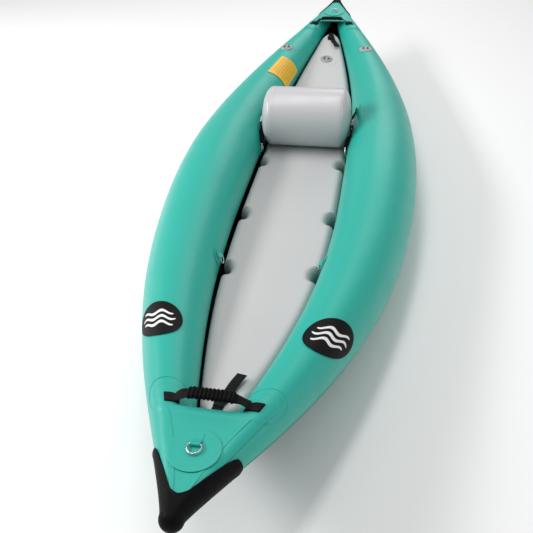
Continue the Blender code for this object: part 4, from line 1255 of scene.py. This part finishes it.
def build_seat_straps():
    width, thickness = 0.0215, 0.0016
    for name, side in SIDES:
        centre, turn, stand = end_mount(side)
        build_ring(name + "_backrest_steel_ring", "backrest", name + "_backrest_ring", centre, turn, 0.18)
        bm = bmesh.new()
        path = [centre + turn @ p for p in wrap_path(0.022, stand - SHEET / 2 - 0.0003)]
        add_strip(bm, path, turn @ Vector((0, 1, 0)), TAB_WIDTH, TAB_SHEET)
        finish_piece(name + "_backrest_tab", bm, "light_pvc", "backrest", name + "_backrest_ring_tab")

        low, low_turn = side_mount(*SEAT_RING, side, (-STRAP_RUN[0], -STRAP_RUN[1]))
        start = centre + turn @ Vector((RING_RUN, 0, 0))
        end = low + low_turn @ Vector((RING_RUN, 0, 0))
        ahead = (end - start).normalized()
        across = ahead.cross(Vector((0, side, 0))).normalized()
        normal = across.cross(ahead).normalized()
        length = (end - start).length
        path, widths = [], []
        for point in racetrack(start, end, normal, thickness):
            place = (point - start).dot(ahead)
            twist, bow_out = strap_turn(place, length, side, ahead)
            path.append(start + ahead * place + bow_out + twist @ normal * (point - start).dot(normal))
            widths.append(twist @ across)
        bm = bmesh.new()
        add_strip(bm, path, widths, width, thickness, closed=True)
        finish_piece(name + "_seat_webbing", bm, "black_webbing", "backrest", name + "_seat_strap")

        bm = bmesh.new()
        for place in (0.024, length - 0.024):
            twist, bow_out = strap_turn(place, length, side, ahead)
            for row in (-0.0014, 0.0014):
                spot = start + ahead * (place + row) + bow_out + twist @ normal * (thickness * 1.5 + 0.0002)
                line = [spot + twist @ across * width * 0.42 * f for f in (-1, -0.33, 0.33, 1)]
                add_stitches(bm, line, twist @ normal, 0.0022, 0.0009, 0.00035)
        finish_piece(name + "_seat_strap_stitching", bm, "thread", "backrest")

        bm = bmesh.new()
        twist, bow_out = strap_turn(length * 0.62, length, side, ahead)
        spot = start + ahead * length * 0.62 + bow_out
        add_ladder_buckle(bm, spot, ahead, twist @ across, 0.0145, 0.0105)
        finish_piece(name + "_ladder_buckle", bm, "black_plastic", "backrest", name + "_strap_buckle")
        build_rear_strap(name, side, width, thickness)


def build_rear_strap(name, side, width, thickness):
    """From the bolster's end back to a patch on the tube: it follows the backrest at one end."""
    x, z = REAR_ANCHOR
    wall = tube_inner_y(x, z) - 0.0045
    tip = bolster_axis() + Vector((-0.022, 0, -0.006))
    reach = [Vector((x - 0.012, side * (wall + 0.0015), z - 0.002)),
             Vector((x + 0.018, side * wall, z + 0.003)),
             Vector((x + 0.07, side * 0.190, z + 0.014)),
             Vector((tip.x - 0.02, side * (BOLSTER_HALF_LENGTH + 0.007), tip.z - 0.002)),
             Vector((tip.x + 0.012, side * (BOLSTER_HALF_LENGTH + 0.0035), tip.z))]
    path = rounded_path(reach, 4)
    bm = bmesh.new()
    add_strip(bm, path, (path[-1] - path[0]).cross(Vector((0, 1, 0))), width, thickness)
    strap = finish_piece(name + "_rear_webbing", bm, "black_webbing", "hull", ride=False)
    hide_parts(name + "_rear_strap")
    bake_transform(strap)
    bm = bmesh.new()
    surface = tube_surface(x - 0.004, side, tube_angle_at(x, z), 0.0010)
    add_patch(bm, surface, round_outline(0.026), SHEET, 0.0010, 5)
    finish_piece(name + "_rear_strap_patch", bm, "teal_pvc", "hull")


# ---- marks --------------------------------------------------------------------------------
def build_label():
    """Yellow printed label, left blank apart from ruled lines."""
    surface = tube_surface(LABEL_X, -1, LABEL_ANGLE, 0.0018)
    bm = bmesh.new()
    add_patch(bm, surface, rounded_box_outline(*LABEL_HALF, 0.004, 6, 14), PRINT, 0.0006, 14)
    finish_piece("blank_yellow_label", bm, "yellow_print", "hull", "blank_label")
    bm = bmesh.new()
    for row in range(8):
        v = 0.040 - 0.0115 * row
        reach = 0.078 if row % 3 else 0.060
        rings = []
        for k in range(25):
            u = -0.078 + (0.078 + reach) * k / 24
            outline = strip_outline(0.0022, 0.0003)
            rings.append([surface(u, v + a, PRINT_TOP + b) for a, b in outline])
        add_loft(bm, rings)
    finish_piece("label_ruled_lines", bm, "amber_print", "hull")


def build_badges():
    """Plain black discs; the white waves are generic."""
    for name, side, angle in (("port", 1, 28), ("starboard", -1, 20)):
        surface = tube_surface(BADGE_X, side, radians(angle), 0.0018)
        bm = bmesh.new()
        add_patch(bm, surface, round_outline(BADGE_RADIUS, 96), PRINT, 0.0006, 12)
        finish_piece(name + "_round_badge", bm, "black_pvc", "hull", name + "_badge")
        bm = bmesh.new()
        for row in (-1, 0, 1):
            rings = []
            reach = sqrt(0.047 ** 2 - (0.023 * row) ** 2)
            for k in range(61):
                v = reach * (k / 30 - 1)
                u = 0.021 * row + 0.0060 * sin(2 * pi * v / 0.047)
                wide = 0.0105 * (0.25 + 0.75 * sin(pi * k / 60) ** 0.5)
                outline = strip_outline(wide, 0.0003)
                rings.append([surface(u + a, v, PRINT_TOP + b) for a, b in outline])
            add_loft(bm, rings)
        finish_piece(name + "_badge_waves", bm, "white_print", "hull")


# ---- CAD nodes that stay in view ---------------------------------------------------------------
def dress_cad_nodes():
    kept = {"bottom_sheet": "black_pvc", "bolster_valve_body": "grey_plastic",
            "bolster_valve_plug": "grey_plastic"}
    for name in ("port", "starboard", "floor"):
        kept[name + "_valve_stem"] = "grey_plastic"
    for name, look in kept.items():
        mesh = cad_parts[name].data
        mesh.materials.clear()
        mesh.materials.append(LOOKS[look])


# ---- stage, light and camera ---------------------------------------------------------------------
# name, place, target, size and watts
LIGHTS = (
    ("key", (0.7, -3.4, 2.5), (0, 0.1, 0.1), (3.4, 0.7), 120),
    ("top", (-0.2, -0.5, 3.4), (0, 0, 0.1), (3.0, 0.5), 40),
    ("fill", (1.2, 3.8, 1.6), (0, 0.5, 0.0), (3.4, 1.4), 20),
    ("rim", (-3.6, 0.6, 2.2), (-0.4, 0, 0.2), (2.0, 1.2), 18),
)


def add_area(name, place, target, size, power):
    data = bpy.data.lights.new(name, "AREA")
    data.shape = "RECTANGLE"
    data.size, data.size_y = size
    data.energy = power
    light = bpy.data.objects.new(name, data)
    light.location = place
    light.rotation_euler = (Vector(target) - Vector(place)).to_track_quat("-Z", "Y").to_euler()
    bpy.context.scene.collection.objects.link(light)


def build_stage():
    bm = bmesh.new()
    bmesh.ops.create_grid(bm, x_segments=2, y_segments=2, size=14)
    floor = link_mesh("studio_floor", bm)
    floor.location.z = -0.0004
    look = Look("studio_floor")
    look.colour((0.94, 0.94, 0.94), (0.96, 0.96, 0.96), look.noise(0.8))
    look.shader.inputs["Roughness"].default_value = 0.9
    floor.data.materials.append(look.made)

    world = bpy.data.worlds.new("studio")
    bpy.context.scene.world = world
    world.use_nodes = True
    shade = world.node_tree.nodes["Background"]
    shade.inputs["Color"].default_value = (1.0, 1.0, 1.0, 1)
    shade.inputs["Strength"].default_value = 0.44
    for light in LIGHTS:
        add_area(*light)


CAMERA_PLACE = (2.0415, 0.3097, 1.3245)
CAMERA_RIGHT = (-0.1823, 0.9823, -0.0433)
CAMERA_UP = (-0.6237, -0.0815, 0.7774)
CAMERA_LENS = 41.46


def build_camera():
    """The photo's viewpoint, high over the bow."""
    data = bpy.data.cameras.new("camera")
    data.lens = CAMERA_LENS
    data.sensor_width = 36.0
    data.clip_end = 60
    camera = bpy.data.objects.new("camera", data)
    right, up = Vector(CAMERA_RIGHT), Vector(CAMERA_UP)
    back = right.cross(up)
    turn = Matrix((right, up, back)).transposed().to_4x4()
    camera.matrix_world = Matrix.Translation(CAMERA_PLACE) @ turn
    bpy.context.scene.collection.objects.link(camera)
    bpy.context.scene.camera = camera
    bpy.context.scene.view_settings.view_transform = "Standard"


def main():
    build_tubes()
    build_tube_seams()
    build_floor()
    for prefix, end in ENDS:
        build_deck(prefix, end)
        build_nose_cap(prefix, end)
        build_handle(prefix, end)
        build_end_ring(prefix, end)
        build_floor_strap(prefix, end)
    build_side_rings()
    for name, side in SIDES:
        build_valve(name, on_tube(VALVE_X, side, 0), "teal_pvc")
    build_valve("floor", Vector((FLOOR_VALVE_X, 0, floor_top(FLOOR_VALVE_X))), "grey_pvc")
    build_bolster()
    build_seat_straps()
    build_label()
    build_badges()
    dress_cad_nodes()
    build_stage()
    build_camera()


main()
